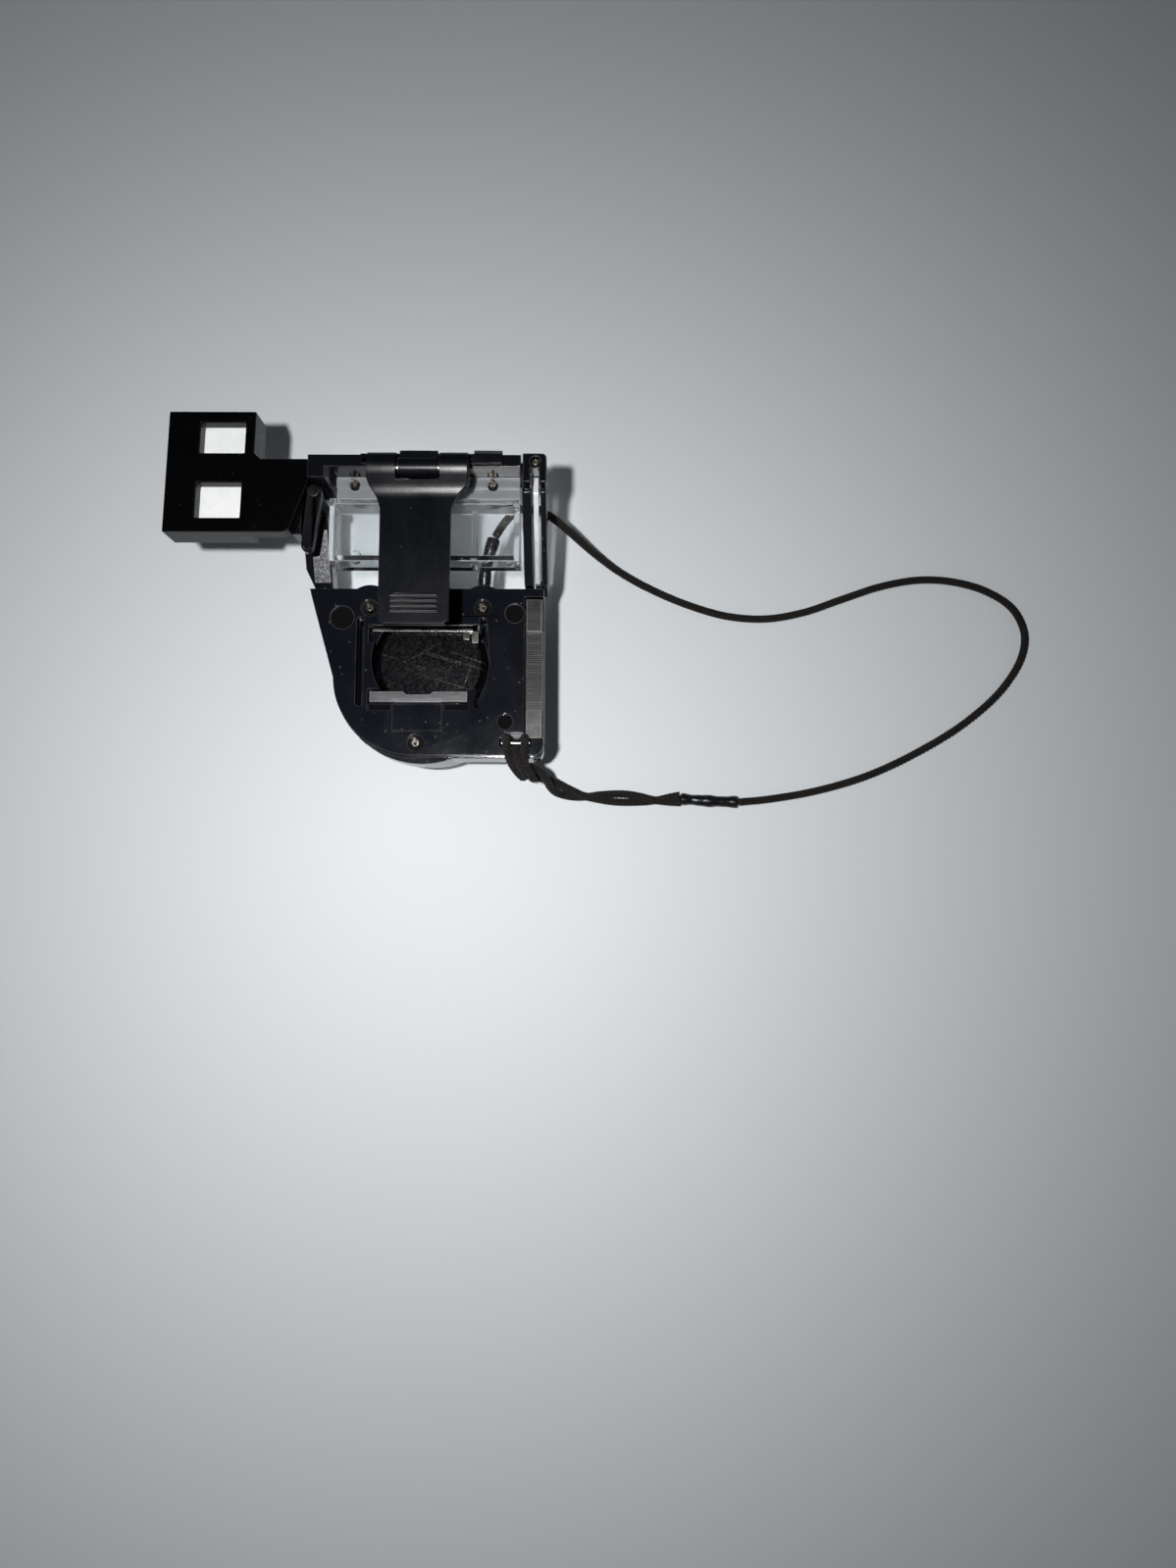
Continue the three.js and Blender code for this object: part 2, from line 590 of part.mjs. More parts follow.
function sideRail() {
  const [inside, outside] = [INNER_RAIL.x1 + GAP, OUTER_RAIL.x0 + 0.1];
  const wall = wallAlongX(railProfile(CAP.z0 - GAP), OUTER_RAIL.x0, OUTER_RAIL.x1);
  const foot = block(inside, outside, FRAME_START, FRAME_START + 1.5, 20, 23.6);
  const head = block(inside, outside, FRAME_END - 2, FRAME_END, 29, CAP.z0 - GAP);
  return joined(wall, foot, head);
}

function guideStrip() {
  return wallAlongX(guideProfile(), GUIDE_STRIP.x0, GUIDE_STRIP.x1);
}

function cornerCap() {
  const { x0, x1, y0, y1, z0, z1 } = CAP;
  const r = 0.8;
  const shape = new THREE.Shape();
  shape.moveTo(x0, y0);
  shape.lineTo(x1, y0);
  shape.lineTo(x1, y1 - r);
  shape.absarc(x1 - r, y1 - r, r, 0, Math.PI / 2);
  shape.lineTo(x0, y1);
  const pinHole = post(CAP_PIN.x, CAP_PIN.y, CAP_PIN.r + GAP, z0 + 1, z1 + 1, 24);
  const notch = block(GUIDE_STRIP.x0 - 0.2, GUIDE_STRIP.x1 + 0.2, y0 - 1, CAP_NOTCH_END, z0 - 1, z1 + 1);
  return cut(plate(shape, z0, z1, 6), pinHole, notch);
}

function cornerPin() {
  const { x, y, r } = CAP_PIN;
  return cut(
    post(x, y, r, CAP.z0 + 1 + GAP, CAP.z1 - 0.15, 20),
    post(x, y, 0.22, CAP.z1 - 0.9, CAP.z1 + 1, 12),
  );
}

// ---- Clear tray ----
function clearTray() {
  const { x0, x1, y0, y1, z0, z1 } = TRAY;
  const w = TRAY_WALL;
  const outer = block(x0, x1, y0, y1, z0, z1);
  const inner = block(x0 + w, x1 - w, y0 + w, y1 - w, z0 + w, z1 + 1);
  const flange = block(FLANGE.x0, FLANGE.x1, y1 - w, FLANGE.y1, FLANGE.z0, FLANGE.z1);
  const step = block(FLANGE.x0 - 1, FLANGE.x1 + 1, y1 - w - 0.5, 31.3, FLANGE.z1 - 0.5, FLANGE.z1 + 1);
  const floor = z0 + 0.5;
  const rib = block(9.4, 10.3, y0 + 0.5, y1 - 0.5, floor, z0 + 3);
  const studs = TRAY_STUDS.map(([x, y]) => post(x, y, 0.8, floor, z0 + 2.2, 16));
  const holes = Object.values(TRAY_SCREWS).map(([x, y]) =>
    post(x, y, SCREW_SHANK_R + GAP, FLANGE.z0 - 1, FLANGE.z1 + 1, 20),
  );
  return cut(joined(cut(outer, inner), cut(flange, step), rib, ...studs), ...holes);
}

// ---- Belt clip and its hinge ----
function clipBracket() {
  const { y, z, pin } = HINGE;
  const { x0, x1, y0, y1, thick } = FOOT;
  const floor = FRAME_TOP_Z + GAP;
  const plateFoot = block(x0, x1, y0, y1, floor, floor + thick);
  const lugs = [
    [BARREL.x0, BARREL.x1 - 1.4],
    [x1 - 4.8, x1],
  ].map(([a, b]) => block(a, b, y1 - 0.1, y1 + LUG_REACH, floor, floor + thick));
  const neck = block(BARREL.x0, BARREL.x1, y, y1, floor + 0.1, z + 0.4);
  const barrel = rod(BARREL.x0, BARREL.x1, y, z, BARREL.r, 32);
  const foot = cut(joined(plateFoot, ...lugs), ...knuckleRoom());
  return cut(joined(foot, neck, barrel), rod(-12, 14, y, z, pin + 0.15));
}

// The strap's plan: a straight tongue that flares to the width of the two knuckles.
function strapOutline(left, right, end) {
  const { x0, x1, tip } = STRAP;
  const corner = 0.8;
  const shape = new THREE.Shape();
  shape.moveTo(x0, tip + corner);
  shape.lineTo(x0 + corner, tip);
  shape.lineTo(x1 - corner, tip);
  shape.lineTo(x1, tip + corner);
  shape.lineTo(x1 + 0.2, 24.4);
  shape.quadraticCurveTo(x1 + 0.6, 26.6, right - 0.4, 28.2);
  shape.quadraticCurveTo(right, 28.7, right, 30);
  shape.lineTo(right, end);
  shape.lineTo(left, end);
  shape.lineTo(left, 30);
  shape.quadraticCurveTo(left, 28.7, left + 0.4, 28.2);
  shape.quadraticCurveTo(x0 - 0.4, 26.6, x0, 24.4);
  return shape;
}

// The strap's side: flat, then rising in a soft ramp on to the top of the knuckles.
function strapSide(left, right) {
  const { tip, z0, z1 } = STRAP;
  const { y, z, r } = HINGE;
  const side = new THREE.Shape();
  side.moveTo(tip, z0);
  side.lineTo(y, z0);
  side.lineTo(y, z + r - 0.02);
  side.bezierCurveTo(y - 2.2, z + r - 0.1, y - 2.9, z1 + 0.1, y - 5.6, z1);
  side.lineTo(tip, z1);
  return wallAlongX(side.getPoints(14).map(({ x: a, y: b }) => [a, b]), left, right);
}

function beltClip() {
  const { y, z, r, pin } = HINGE;
  const { x0, x1, tip, z0, z1 } = STRAP;
  const [left, right] = [KNUCKLES[0][0], KNUCKLES[1][1]];
  const plan = plate(strapOutline(left, right, y), z0 - 1, z + r + 1, 10);
  const strap = plan.intersect(strapSide(left - 1, right + 1));
  const middle = block(KNUCKLES[0][1], KNUCKLES[1][0], y - 2.55, y + 4, z0 - 1, z + r + 1);
  const knuckles = KNUCKLES.map(([a, b]) => rod(a, b, y, z, r, 48));
  const lip = block(x0 + 0.8, x1 - 0.8, tip, tip + 0.9, z0 - 0.7, z0 + 0.1);
  const { count, first, pitch, width, rise, inset } = GRIP_RIBS;
  const ribs = Array.from({ length: count }, (_, i) => {
    const start = first + i * pitch;
    return block(x0 + inset, x1 - inset, start, start + width, z1 - 0.1, z1 + rise);
  });
  return cut(joined(cut(strap, middle), ...knuckles, lip, ...ribs), rod(-12, 14, y, z, pin + 0.05));
}

// A leaf that pushes the strap back to rest, seated under the strap's root.
function clipSpring() {
  const { x0, x1 } = BARREL;
  return wallAlongX(
    [[27, 39.35], [31.2, 38.2], [32.4, 37.6], [32.4, 37.2], [31.2, 37.8], [27, 39]],
    x0 + 1, x1 - 1,
  );
}

// ---- Side wing ----
function leanX(x, y) {
  return x + (y - WING.y1) * WING_LEAN;
}

function wingRect({ x0, x1, y0, y1 }, grow, z0, z1) {
  return plate([
    [leanX(x0 - grow, y0), y0 - grow], [leanX(x1 + grow, y0), y0 - grow],
    [leanX(x1 + grow, y1), y1 + grow], [leanX(x0 - grow, y1), y1 + grow],
  ], z0, z1);
}

function sideWing() {
  const { x0, x1, y0, y1, z0, z1 } = WING;
  const fillet = 1.2;
  const blockShape = [
    [leanX(x0, y0), y0], [leanX(x1, y0), y0], [leanX(x1, y1), y1], [leanX(x0, y1), y1],
  ];
  const armShape = [
    [leanX(x1, y0) - 2, y0], [-22.6, y0], [-21.4, y0 + 0.4], [ARM.x1 - 0.2, 30.8], [ARM.x1 - 0.2, ARM.y1],
    [x1 + fillet - 0.3, ARM.y1], [x1 - 0.3, ARM.y1 + fillet], [x1 - 2, ARM.y1 + fillet],
  ];
  const openings = Object.values(WING_WINDOWS).flatMap((w) => [
    wingRect(w, 0, z0 - 1, z1 + 1),
    wingRect(w, DIFFUSER.lip, z0 - 1, DIFFUSER.z1 + GAP),
  ]);
  return cut(joined(plate(blockShape, z0, z1), plate(armShape, ARM.z0, z1)), ...openings);
}

// ---- Latch lever ----
function latchLever() {
  const { x, y, r, pin } = LEVER_PIVOT;
  const tip = LEVER_TIP;
  const angle = Math.atan2(tip.y - y, tip.x - x) + Math.PI / 2;
  const shape = new THREE.Shape();
  shape.absarc(tip.x, tip.y, tip.r, angle - Math.PI, angle);
  shape.absarc(x, y, r, angle, angle + Math.PI);
  const flat = new THREE.ExtrudeGeometry(shape, {
    depth: LEVER.thick,
    bevelEnabled: false,
    curveSegments: 10,
  });
  const fall = new THREE.Matrix4().makeShear(0, 0, 0, LEVER.fall, 0, 0);
  const lift = LEVER.z - LEVER.thick / 2 - y * LEVER.fall;
  return cut(solid(flat.applyMatrix4(fall).translate(0, 0, lift)), post(x, y, pin + 0.2, 25, 45, 20));
}

function leverPin() {
  const { x, y, pin } = LEVER_PIVOT;
  return joined(post(x, y, pin, 30.5, 37.1, 16), post(x, y, 1.05, 36.9, 37.4, 20));
}

// A bright metal tongue beside the lever, lying up the frame's slope.
function latchPlate() {
  const lift = FRAME_FLOOR_Z - FRAME_START * FRAME_SLOPE + FRAME_PLATE + GAP;
  const outline = [[-20, 17], [-17.1, 17], [-17.1, 25.6], [-17.6, 25.6], [-18.7, 21.4], [-20, 21.2]];
  return leaned(outline, lift, lift + 0.5);
}

function lanyardBar() {
  const { x0, x1, y, z, r } = LANYARD_BAR;
  return rod(x0, x1, y, z, r, 16);
}

function clipPin() {
  return rod(KNUCKLES[0][0], KNUCKLES[1][1], HINGE.y, HINGE.z, HINGE.pin, 20);
}

// ---- The assembly ----
place("front_bezel", frontBezel(), SATIN_BLACK);
place("fresnel_lens", fresnelLens(), MILK_WHITE);
place("drum_barrel", drumBarrel(), GLOSS_BLACK);
place("circuit_board", circuitBoard(), BOARD_GREEN);
place("sensor_can", sensorCan(), STEEL);
place("front_case", frontCase(), SATIN_BLACK);
place("back_cover", backCover(), SATIN_BLACK);
place("coin_cell", coinCell(), DULL_STEEL);
place("battery_contact_upper", upperContact(), STEEL);
place("battery_contact_lower", lowerContact(), STEEL);
place("battery_bar", retainingBar(), GREY_PLASTIC);
for (const [name, [x, y]] of Object.entries(COVER_SCREWS)) {
  place(name, crossScrew(x, y, COVER_TOP - 0.4, 5.2), SCREW_STEEL);
}
place("side_strip", sideStrip(), STEEL);
place("lanyard_bar", lanyardBar(), STEEL);
place("window_frame", windowFrame(), SATIN_BLACK);
place("side_rail", sideRail(), SATIN_BLACK);
place("guide_strip", guideStrip(), STEEL);
place("corner_cap", cornerCap(), SATIN_BLACK);
place("corner_pin", cornerPin(), STEEL);
place("clear_tray", clearTray(), CLEAR);
for (const [name, [x, y]] of Object.entries(TRAY_SCREWS)) {
  place(name, crossScrew(x, y, FLANGE.z1 + GAP, 4, 1.05, 0.6), SCREW_STEEL);
}
place("clip_bracket", clipBracket(), CLIP_BLACK);
place("belt_clip", beltClip(), CLIP_BLACK);
place("clip_pin", clipPin(), STEEL);
place("clip_spring", clipSpring(), STEEL);
place("side_wing", sideWing(), DEAD_BLACK);
for (const [name, w] of Object.entries(WING_WINDOWS)) {
  place(name, wingRect(w, DIFFUSER.lip - GAP, DIFFUSER.z0, DIFFUSER.z1), MILK_WHITE);
}
place("latch_lever", latchLever(), SATIN_BLACK);
place("lever_pin", leverPin(), STEEL);
place("latch_plate", latchPlate(), STEEL);
place("lanyard_cord", strand(CORD_ROUTE, CORD_R, 76, 4), BRAID);
place("exit_sleeve", strand(EXIT_SLEEVE_ROUTE, SLEEVE_R, 8, 6), SHRINK_TUBE);
place("splice_sleeve", strand(SPLICE_ROUTE, SLEEVE_R, 6, 6), SHRINK_TUBE);
place("tether_pair", strand(TETHER_ROUTE, TETHER_R, 12, 5), BRAID);
place("tether_knot", strand(KNOT_ROUTE, KNOT_R, 12, 5), BRAID);

const motionSensor = new THREE.Group();
motionSensor.name = "motion_sensor";
motionSensor.add(assembly);
export default motionSensor;
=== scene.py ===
import math

import bmesh
import bpy
import numpy as np
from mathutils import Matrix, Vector


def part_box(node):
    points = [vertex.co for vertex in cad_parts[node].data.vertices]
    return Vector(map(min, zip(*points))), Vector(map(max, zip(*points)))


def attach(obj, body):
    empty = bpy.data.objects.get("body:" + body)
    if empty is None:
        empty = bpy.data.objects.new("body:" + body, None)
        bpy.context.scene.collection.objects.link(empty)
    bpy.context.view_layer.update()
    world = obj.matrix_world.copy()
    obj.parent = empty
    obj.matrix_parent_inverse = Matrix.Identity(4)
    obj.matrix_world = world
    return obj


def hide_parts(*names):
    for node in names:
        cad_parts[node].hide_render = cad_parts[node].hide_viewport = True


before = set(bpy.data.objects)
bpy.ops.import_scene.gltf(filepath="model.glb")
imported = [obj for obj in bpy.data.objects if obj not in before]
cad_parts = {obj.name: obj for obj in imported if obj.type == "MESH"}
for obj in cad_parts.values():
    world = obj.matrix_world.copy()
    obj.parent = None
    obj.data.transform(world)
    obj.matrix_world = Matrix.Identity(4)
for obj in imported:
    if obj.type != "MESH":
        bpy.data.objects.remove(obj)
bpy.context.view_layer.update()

scene = bpy.context.scene
mm = 0.001

# ---- Camera ----
# It looks down on the sensor's back from 21 cm over the table, a little from the right and from the
# drum's side, tilted slightly towards the hinge.
drum_low, drum_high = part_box("drum_barrel")
drum_x = (drum_low.x + drum_high.x) / 2
drum_y = (drum_low.y + drum_high.y) / 2


def at(x, y, z):
    """A place given in millimetres: x and y from the drum's axis, z from the table."""
    return Vector((drum_x + x * mm, drum_y + y * mm, z * mm))


tilt_forward, lean = 6, -0.36
camera_data = bpy.data.cameras.new("camera")
camera_data.sensor_width = 36
camera_data.lens = 24.06
camera_data.clip_start = 0.01
camera = bpy.data.objects.new("camera", camera_data)
camera.location = at(29.1, -40.1, 212.3)
camera.rotation_euler = (math.radians(tilt_forward), math.radians(lean), 0)
scene.collection.objects.link(camera)
scene.camera = camera

# ---- Table and light ----
# A plain pale table top. A small lamp hangs over the sensor's left side, so the shadows fall to the
# right. Two wide dim panels, past the drum's side and on the right, and a faint grey room fill them.
def principled(name):
    """A new material, its tree and its main shader."""
    material = bpy.data.materials.new(name)
    material.use_nodes = True
    return material, material.node_tree, material.node_tree.nodes["Principled BSDF"]


table_reach = 1.5
table_corners = [(x * table_reach, y * table_reach, 0) for x, y in ((-1, -1), (1, -1), (1, 1), (-1, 1))]
table_mesh = bpy.data.meshes.new("table_top")
table_mesh.from_pydata(table_corners, [], [(0, 1, 2, 3)])
table_top = bpy.data.objects.new("table_top", table_mesh)
scene.collection.objects.link(table_top)
table_paint, _, table_shader = principled("table_paint")
table_shader.inputs["Base Color"].default_value = (0.72, 0.75, 0.77, 1)
table_shader.inputs["Roughness"].default_value = 0.6
table_mesh.materials.append(table_paint)


def soft_lamp(name, place, target, size, watts, colour=(1, 1, 1), spread=180):
    """A round lamp that faces its target; a spread under 180 degrees narrows its beam."""
    lamp_data = bpy.data.lights.new(name, "AREA")
    lamp_data.shape = "DISK"
    lamp_data.spread = math.radians(spread)
    lamp_data.size = size
    lamp_data.energy = watts
    lamp_data.color = colour
    lamp = bpy.data.objects.new(name, lamp_data)
    lamp.location = place
    lamp.rotation_euler = (target - place).to_track_quat("-Z", "Y").to_euler()
    scene.collection.objects.link(lamp)


soft_lamp("key_lamp", at(1.4, -38.7, 240), at(-8, -22, 0), 0.008, 0.25, spread=122)
soft_lamp("fill_panel", at(-150, -480, 380), at(20, 0, 0), 0.4, 0.07, (0.93, 0.97, 1.0))
soft_lamp("low_panel", at(430, 120, 260), at(0, 0, 20), 0.3, 0.045, (0.95, 0.98, 1.0))
room = bpy.data.worlds.new("room")
room.use_nodes = True
room_light = room.node_tree.nodes["Background"]
room_light.inputs["Color"].default_value = (0.75, 0.8, 0.86, 1)
room_light.inputs["Strength"].default_value = 0.04
scene.world = room
scene.view_settings.view_transform = "Standard"

# ---- Lanyard cord ----
# A limp braided cord, 1.65 mm thick, brown-black. It comes out of a black sleeve beside the clip,
# passes under the frame's right side, drops to the table and runs in one wide loop to the splice.
def pattern(tree, kind, scale, stretch=(1, 1, 1), turn=0.0, **settings):
    """A texture on the piece's own coordinates, `scale` repeats a metre, drawn out along turned axes."""
    place = tree.nodes.new("ShaderNodeTexCoord")
    mapping = tree.nodes.new("ShaderNodeMapping")
    mapping.vector_type = "TEXTURE"
    mapping.inputs["Scale"].default_value = stretch
    mapping.inputs["Rotation"].default_value[2] = turn
    texture = tree.nodes.new("ShaderNodeTex" + kind)
    texture.inputs["Scale"].default_value = scale
    for label, value in settings.items():
        texture.inputs[label].default_value = value
    tree.links.new(place.outputs["Object"], mapping.inputs["Vector"])
    tree.links.new(mapping.outputs["Vector"], texture.inputs["Vector"])
    return texture.outputs[0]


def shades(tree, value, *stops):
    """Colours along a value, from stops of (place, colour)."""
    ramp = tree.nodes.new("ShaderNodeValToRGB")
    elements = ramp.color_ramp.elements
    elements.remove(elements[1])
    for number, (place, colour) in enumerate(stops):
        element = elements.new(place) if number else elements[0]
        element.position = place
        element.color = (*colour, 1)
    tree.links.new(value, ramp.inputs["Fac"])
    return ramp.outputs["Color"]


def between(tree, value, low, high, start=0.0, end=1.0):
    """A value's stretch from start to end, spread from low to high."""
    spread = tree.nodes.new("ShaderNodeMapRange")
    for label, number in (("From Min", start), ("From Max", end), ("To Min", low), ("To Max", high)):
        spread.inputs[label].default_value = number
    tree.links.new(value, spread.inputs["Value"])
    return spread.outputs["Result"]


def times(tree, first, second):
    """Two values multiplied."""
    product = tree.nodes.new("ShaderNodeMath")
    product.operation = "MULTIPLY"
    tree.links.new(first, product.inputs[0])
    tree.links.new(second, product.inputs[1])
    return product.outputs["Value"]


def over(tree, colour, cover, share):
    """A plain colour laid over another, as thickly as share says."""
    blend = tree.nodes.new("ShaderNodeMix")
    blend.data_type = "RGBA"  # its colour sockets share their names with others, so they go by number
    tree.links.new(share, blend.inputs["Factor"])
    tree.links.new(colour, blend.inputs[6])
    blend.inputs[7].default_value = (*cover, 1)
    return blend.outputs[2]


def raised(tree, shader, height, distance, strength=1.0):
    """Adds relief to the shader's normal, over what is there already."""
    bump = tree.nodes.new("ShaderNodeBump")
    bump.inputs["Strength"].default_value = strength
    bump.inputs["Distance"].default_value = distance
    tree.links.new(height, bump.inputs["Height"])
    if shader.inputs["Normal"].links:
        tree.links.new(shader.inputs["Normal"].links[0].from_socket, bump.inputs["Normal"])
    tree.links.new(bump.outputs["Normal"], shader.inputs["Normal"])


def coat(tree, shader, colour, roughness, **constants):
    """Gives the shader its colour and roughness, and sets its other inputs."""
    tree.links.new(colour, shader.inputs["Base Color"])
    tree.links.new(roughness, shader.inputs["Roughness"])
    for label, value in constants.items():
        shader.inputs[label.replace("_", " ")].default_value = value


def smooth_line(route, spacing, per_span=24):
    """Points every `spacing` along one smooth curve through the places of a route."""
    p = [np.array(at(*place), float) for place in route]
    p = [2 * p[0] - p[1]] + p + [2 * p[-1] - p[-2]]
    fine = []
    for a, b, c, d in zip(p, p[1:], p[2:], p[3:]):
        knots = np.cumsum([0.0] + [np.linalg.norm(q - r) ** 0.5 for q, r in ((b, a), (c, b), (d, c))])
        t = np.linspace(knots[1], knots[2], per_span, endpoint=False)[:, None]
        ab = ((knots[1] - t) * a + (t - knots[0]) * b) / (knots[1] - knots[0])
        bc = ((knots[2] - t) * b + (t - knots[1]) * c) / (knots[2] - knots[1])
        cd = ((knots[3] - t) * c + (t - knots[2]) * d) / (knots[3] - knots[2])
        abc = ((knots[2] - t) * ab + (t - knots[0]) * bc) / (knots[2] - knots[0])
        bcd = ((knots[3] - t) * bc + (t - knots[1]) * cd) / (knots[3] - knots[1])
        fine.append(((knots[2] - t) * abc + (t - knots[1]) * bcd) / (knots[2] - knots[1]))
    fine = np.vstack(fine + [p[-2][None]])
    along = np.r_[0, np.cumsum(np.linalg.norm(np.diff(fine, axis=0), axis=1))]
    steps = max(2, int(round(along[-1] / spacing)) + 1)
    even = np.linspace(0, along[-1], steps)
    return np.stack([np.interp(even, along, fine[:, k]) for k in range(3)], 1)


def carried_axes(line):
    """A side and an upper direction at each point of a line, turning as little as they can."""
    ahead = np.gradient(line, axis=0)
    ahead /= np.linalg.norm(ahead, axis=1)[:, None]
    side = np.cross(ahead[0], (0.0, 0.0, 1.0))
    if np.linalg.norm(side) < 1e-3:
        side = np.array((1.0, 0.0, 0.0))
    sides = []
    for t in ahead:
        side = side - t * side.dot(t)
        side /= np.linalg.norm(side)
        sides.append(side)
    sides = np.array(sides)
    return sides, np.cross(ahead, sides)


def tube_faces(rings, around, first):
    """Quads between rings of points, and a cap at each end."""
    faces = []
    for i in range(rings - 1):
        for j in range(around):
            k = (j + 1) % around
            a, b = first + i * around, first + (i + 1) * around
            faces.append((a + j, a + k, b + k, b + j))
    faces.append(tuple(first + j for j in reversed(range(around))))
    faces.append(tuple(first + (rings - 1) * around + j for j in range(around)))
    return faces


def swept(line, radius, around):
    """Ring points and faces of a round tube whose radius may change along the line."""
    sides, ups = carried_axes(line)
    radius = np.broadcast_to(radius, len(line))[:, None, None]
    angle = np.linspace(0, 2 * math.pi, around, endpoint=False)[None, :, None]
    rings = line[:, None] + radius * (np.cos(angle) * sides[:, None] + np.sin(angle) * ups[:, None])
    return rings.reshape(-1, 3), tube_faces(len(line), around, 0)


def mesh_piece(name, points, faces, material, smooth=True):
    """A finished mesh object at the origin, its faces pointing out."""
    mesh = bpy.data.meshes.new(name)
    mesh.from_pydata([tuple(p) for p in points], [], faces)
    work = bmesh.new()
    work.from_mesh(mesh)
    bmesh.ops.recalc_face_normals(work, faces=work.faces)
    work.to_mesh(mesh)
    work.free()
    mesh.polygons.foreach_set("use_smooth", [smooth] * len(mesh.polygons))
    mesh.materials.append(material)
    piece = bpy.data.objects.new(name, mesh)
    scene.collection.objects.link(piece)
    return piece


def braided(name, line, diameter, material, pairs=6, pitch=5.2 * mm):
    """A tubular braid: as many yarns turn each way, and each goes over and under the others.

    lift is how far a yarn rises and dips; flat and wide are half its thickness and half its width.
    """
    lift, flat, wide = 0.05 * diameter, 0.085 * diameter, 0.15 * diameter
    radius = diameter / 2 - lift - flat
    sides, ups = carried_axes(line)
    along = np.r_[0, np.cumsum(np.linalg.norm(np.diff(line, axis=0), axis=1))]
    core, core_faces = swept(line, radius, around=8)
    points, faces = [core], core_faces
    count = len(core)
    turn = 2 * math.pi / pitch
    for way in (1, -1):
        for yarn in range(pairs):
            angle = way * turn * along + 2 * math.pi * yarn / pairs
            height = radius + way * lift * np.cos(pairs * turn * along)
            out = np.cos(angle)[:, None] * sides + np.sin(angle)[:, None] * ups
            across = -np.sin(angle)[:, None] * sides + np.cos(angle)[:, None] * ups
            centre = line + height[:, None] * out
            ring = [across * -wide, out * flat, across * wide, out * -flat]
            points.append((centre[:, None] + np.stack(ring, 1)).reshape(-1, 3))
            faces = faces + tube_faces(len(line), 4, count)
            count += 4 * len(line)
    return mesh_piece(name, np.vstack(points), faces, material)


def cord_fibre():
    """Dull brown-black yarn: warmer and cooler stretches, fine fibres along the cord, a little fuzz."""
    material, tree, shader = principled("cord_fibre")
    patches = pattern(tree, "Noise", 900, Detail=3)
    tint = shades(tree, patches, (0.3, (0.002, 0.0017, 0.0016)), (0.72, (0.014, 0.0105, 0.008)))
    coat(
        tree, shader, tint, between(tree, patches, 0.6, 0.85),
        Specular_IOR_Level=0.25, Sheen_Weight=0.06, Sheen_Roughness=0.5,
    )
    raised(tree, shader, pattern(tree, "Noise", 9000), 0.04 * mm, 0.5)
    return material


fibre = cord_fibre()
cord_thick = 1.65 * mm
cord_route = [
    (13.0, 26.2, 22.2), (14.9, 29.0, 22.4), (17.2, 31.2, 22.5), (20.2, 32.0, 21.8),
    (23.2, 31.2, 19.6), (25.9, 30.2, 16.2), (28.8, 29.2, 11.5), (32.2, 27.9, 6.6),
    (36.6, 25.9, 2.7), (42.7, 22.9, 1.1), (50.8, 19.4, 0.9), (58.9, 17.0, 0.9),
    (66.9, 16.4, 0.9), (75.0, 17.8, 0.9), (83.0, 20.6, 0.9), (91.1, 23.3, 0.9),
    (99.1, 24.7, 0.9), (106.2, 24.3, 0.9), (113.2, 22.2, 0.9), (118.3, 18.6, 0.9),
    (120.5, 13.6, 0.9), (119.7, 8.4, 0.9), (115.2, 1.5, 0.9), (107.2, -5.5, 0.9),
    (97.1, -11.6, 0.9), (87.1, -16.2, 0.9), (77.0, -19.2, 0.9), (66.9, -21.0, 1.1),
    (61.0, -21.6, 1.5),
]
cord_line = smooth_line(cord_route, spacing=0.19 * mm)
lanyard = braided("lanyard", cord_line, cord_thick, fibre)
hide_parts("lanyard_cord")
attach(lanyard, "housing")

# ---- Sleeves on the cord ----
# Short lengths of black heat-shrink tube: one where the cord leaves the body, and one where the
# cord is spliced to the doubled tether, lumpy where it has shrunk over the knot inside.
def shrink_tube():
    """Black heat-shrink tube, half glossy, softly wrinkled."""
    material, tree, shader = principled("shrink_tube")
    wrinkles = pattern(tree, "Noise", 1300, Detail=4)
    tint = shades(tree, wrinkles, (0.3, (0.004, 0.004, 0.005)), (0.8, (0.010, 0.010, 0.011)))
    coat(tree, shader, tint, between(tree, wrinkles, 0.14, 0.4))
    raised(tree, shader, wrinkles, 0.12 * mm, 0.6)
    return material


shrink = shrink_tube()
sleeve_radius = 1.14 * mm
swell_height = 0.13 * mm
mouth_share = 0.72
mouth_slope = 14


def sleeve(name, route, node, swell):
    """A tube that swells and narrows along its length and closes in to its mouth at both ends."""
    line = smooth_line(route, spacing=0.22 * mm)
    share = np.linspace(0, 1, len(line))
    radius = sleeve_radius + swell_height * swell(share)
    ends = np.minimum(1, np.minimum(share, 1 - share) * mouth_slope + mouth_share)
    points, faces = swept(line, radius * ends, around=20)
    piece = mesh_piece(name, points, faces, shrink)
    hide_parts(node)
    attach(piece, "housing")
    return piece


exit_route = [(10.8, 16.9, 20.7), (11.3, 20.8, 21.7), (12.8, 25.9, 22.2)]
splice_route = [(60.6, -21.6, 1.6), (54.6, -21.4, 1.9), (49.0, -21.0, 1.9)]
cord_exit = sleeve("cord_exit", exit_route, "exit_sleeve", lambda t: np.sin(9 * t))
splice = sleeve(
    "splice", splice_route, "splice_sleeve", lambda t: np.sin(13 * t + 1) * 0.7 + np.sin(29 * t) * 0.3,
)

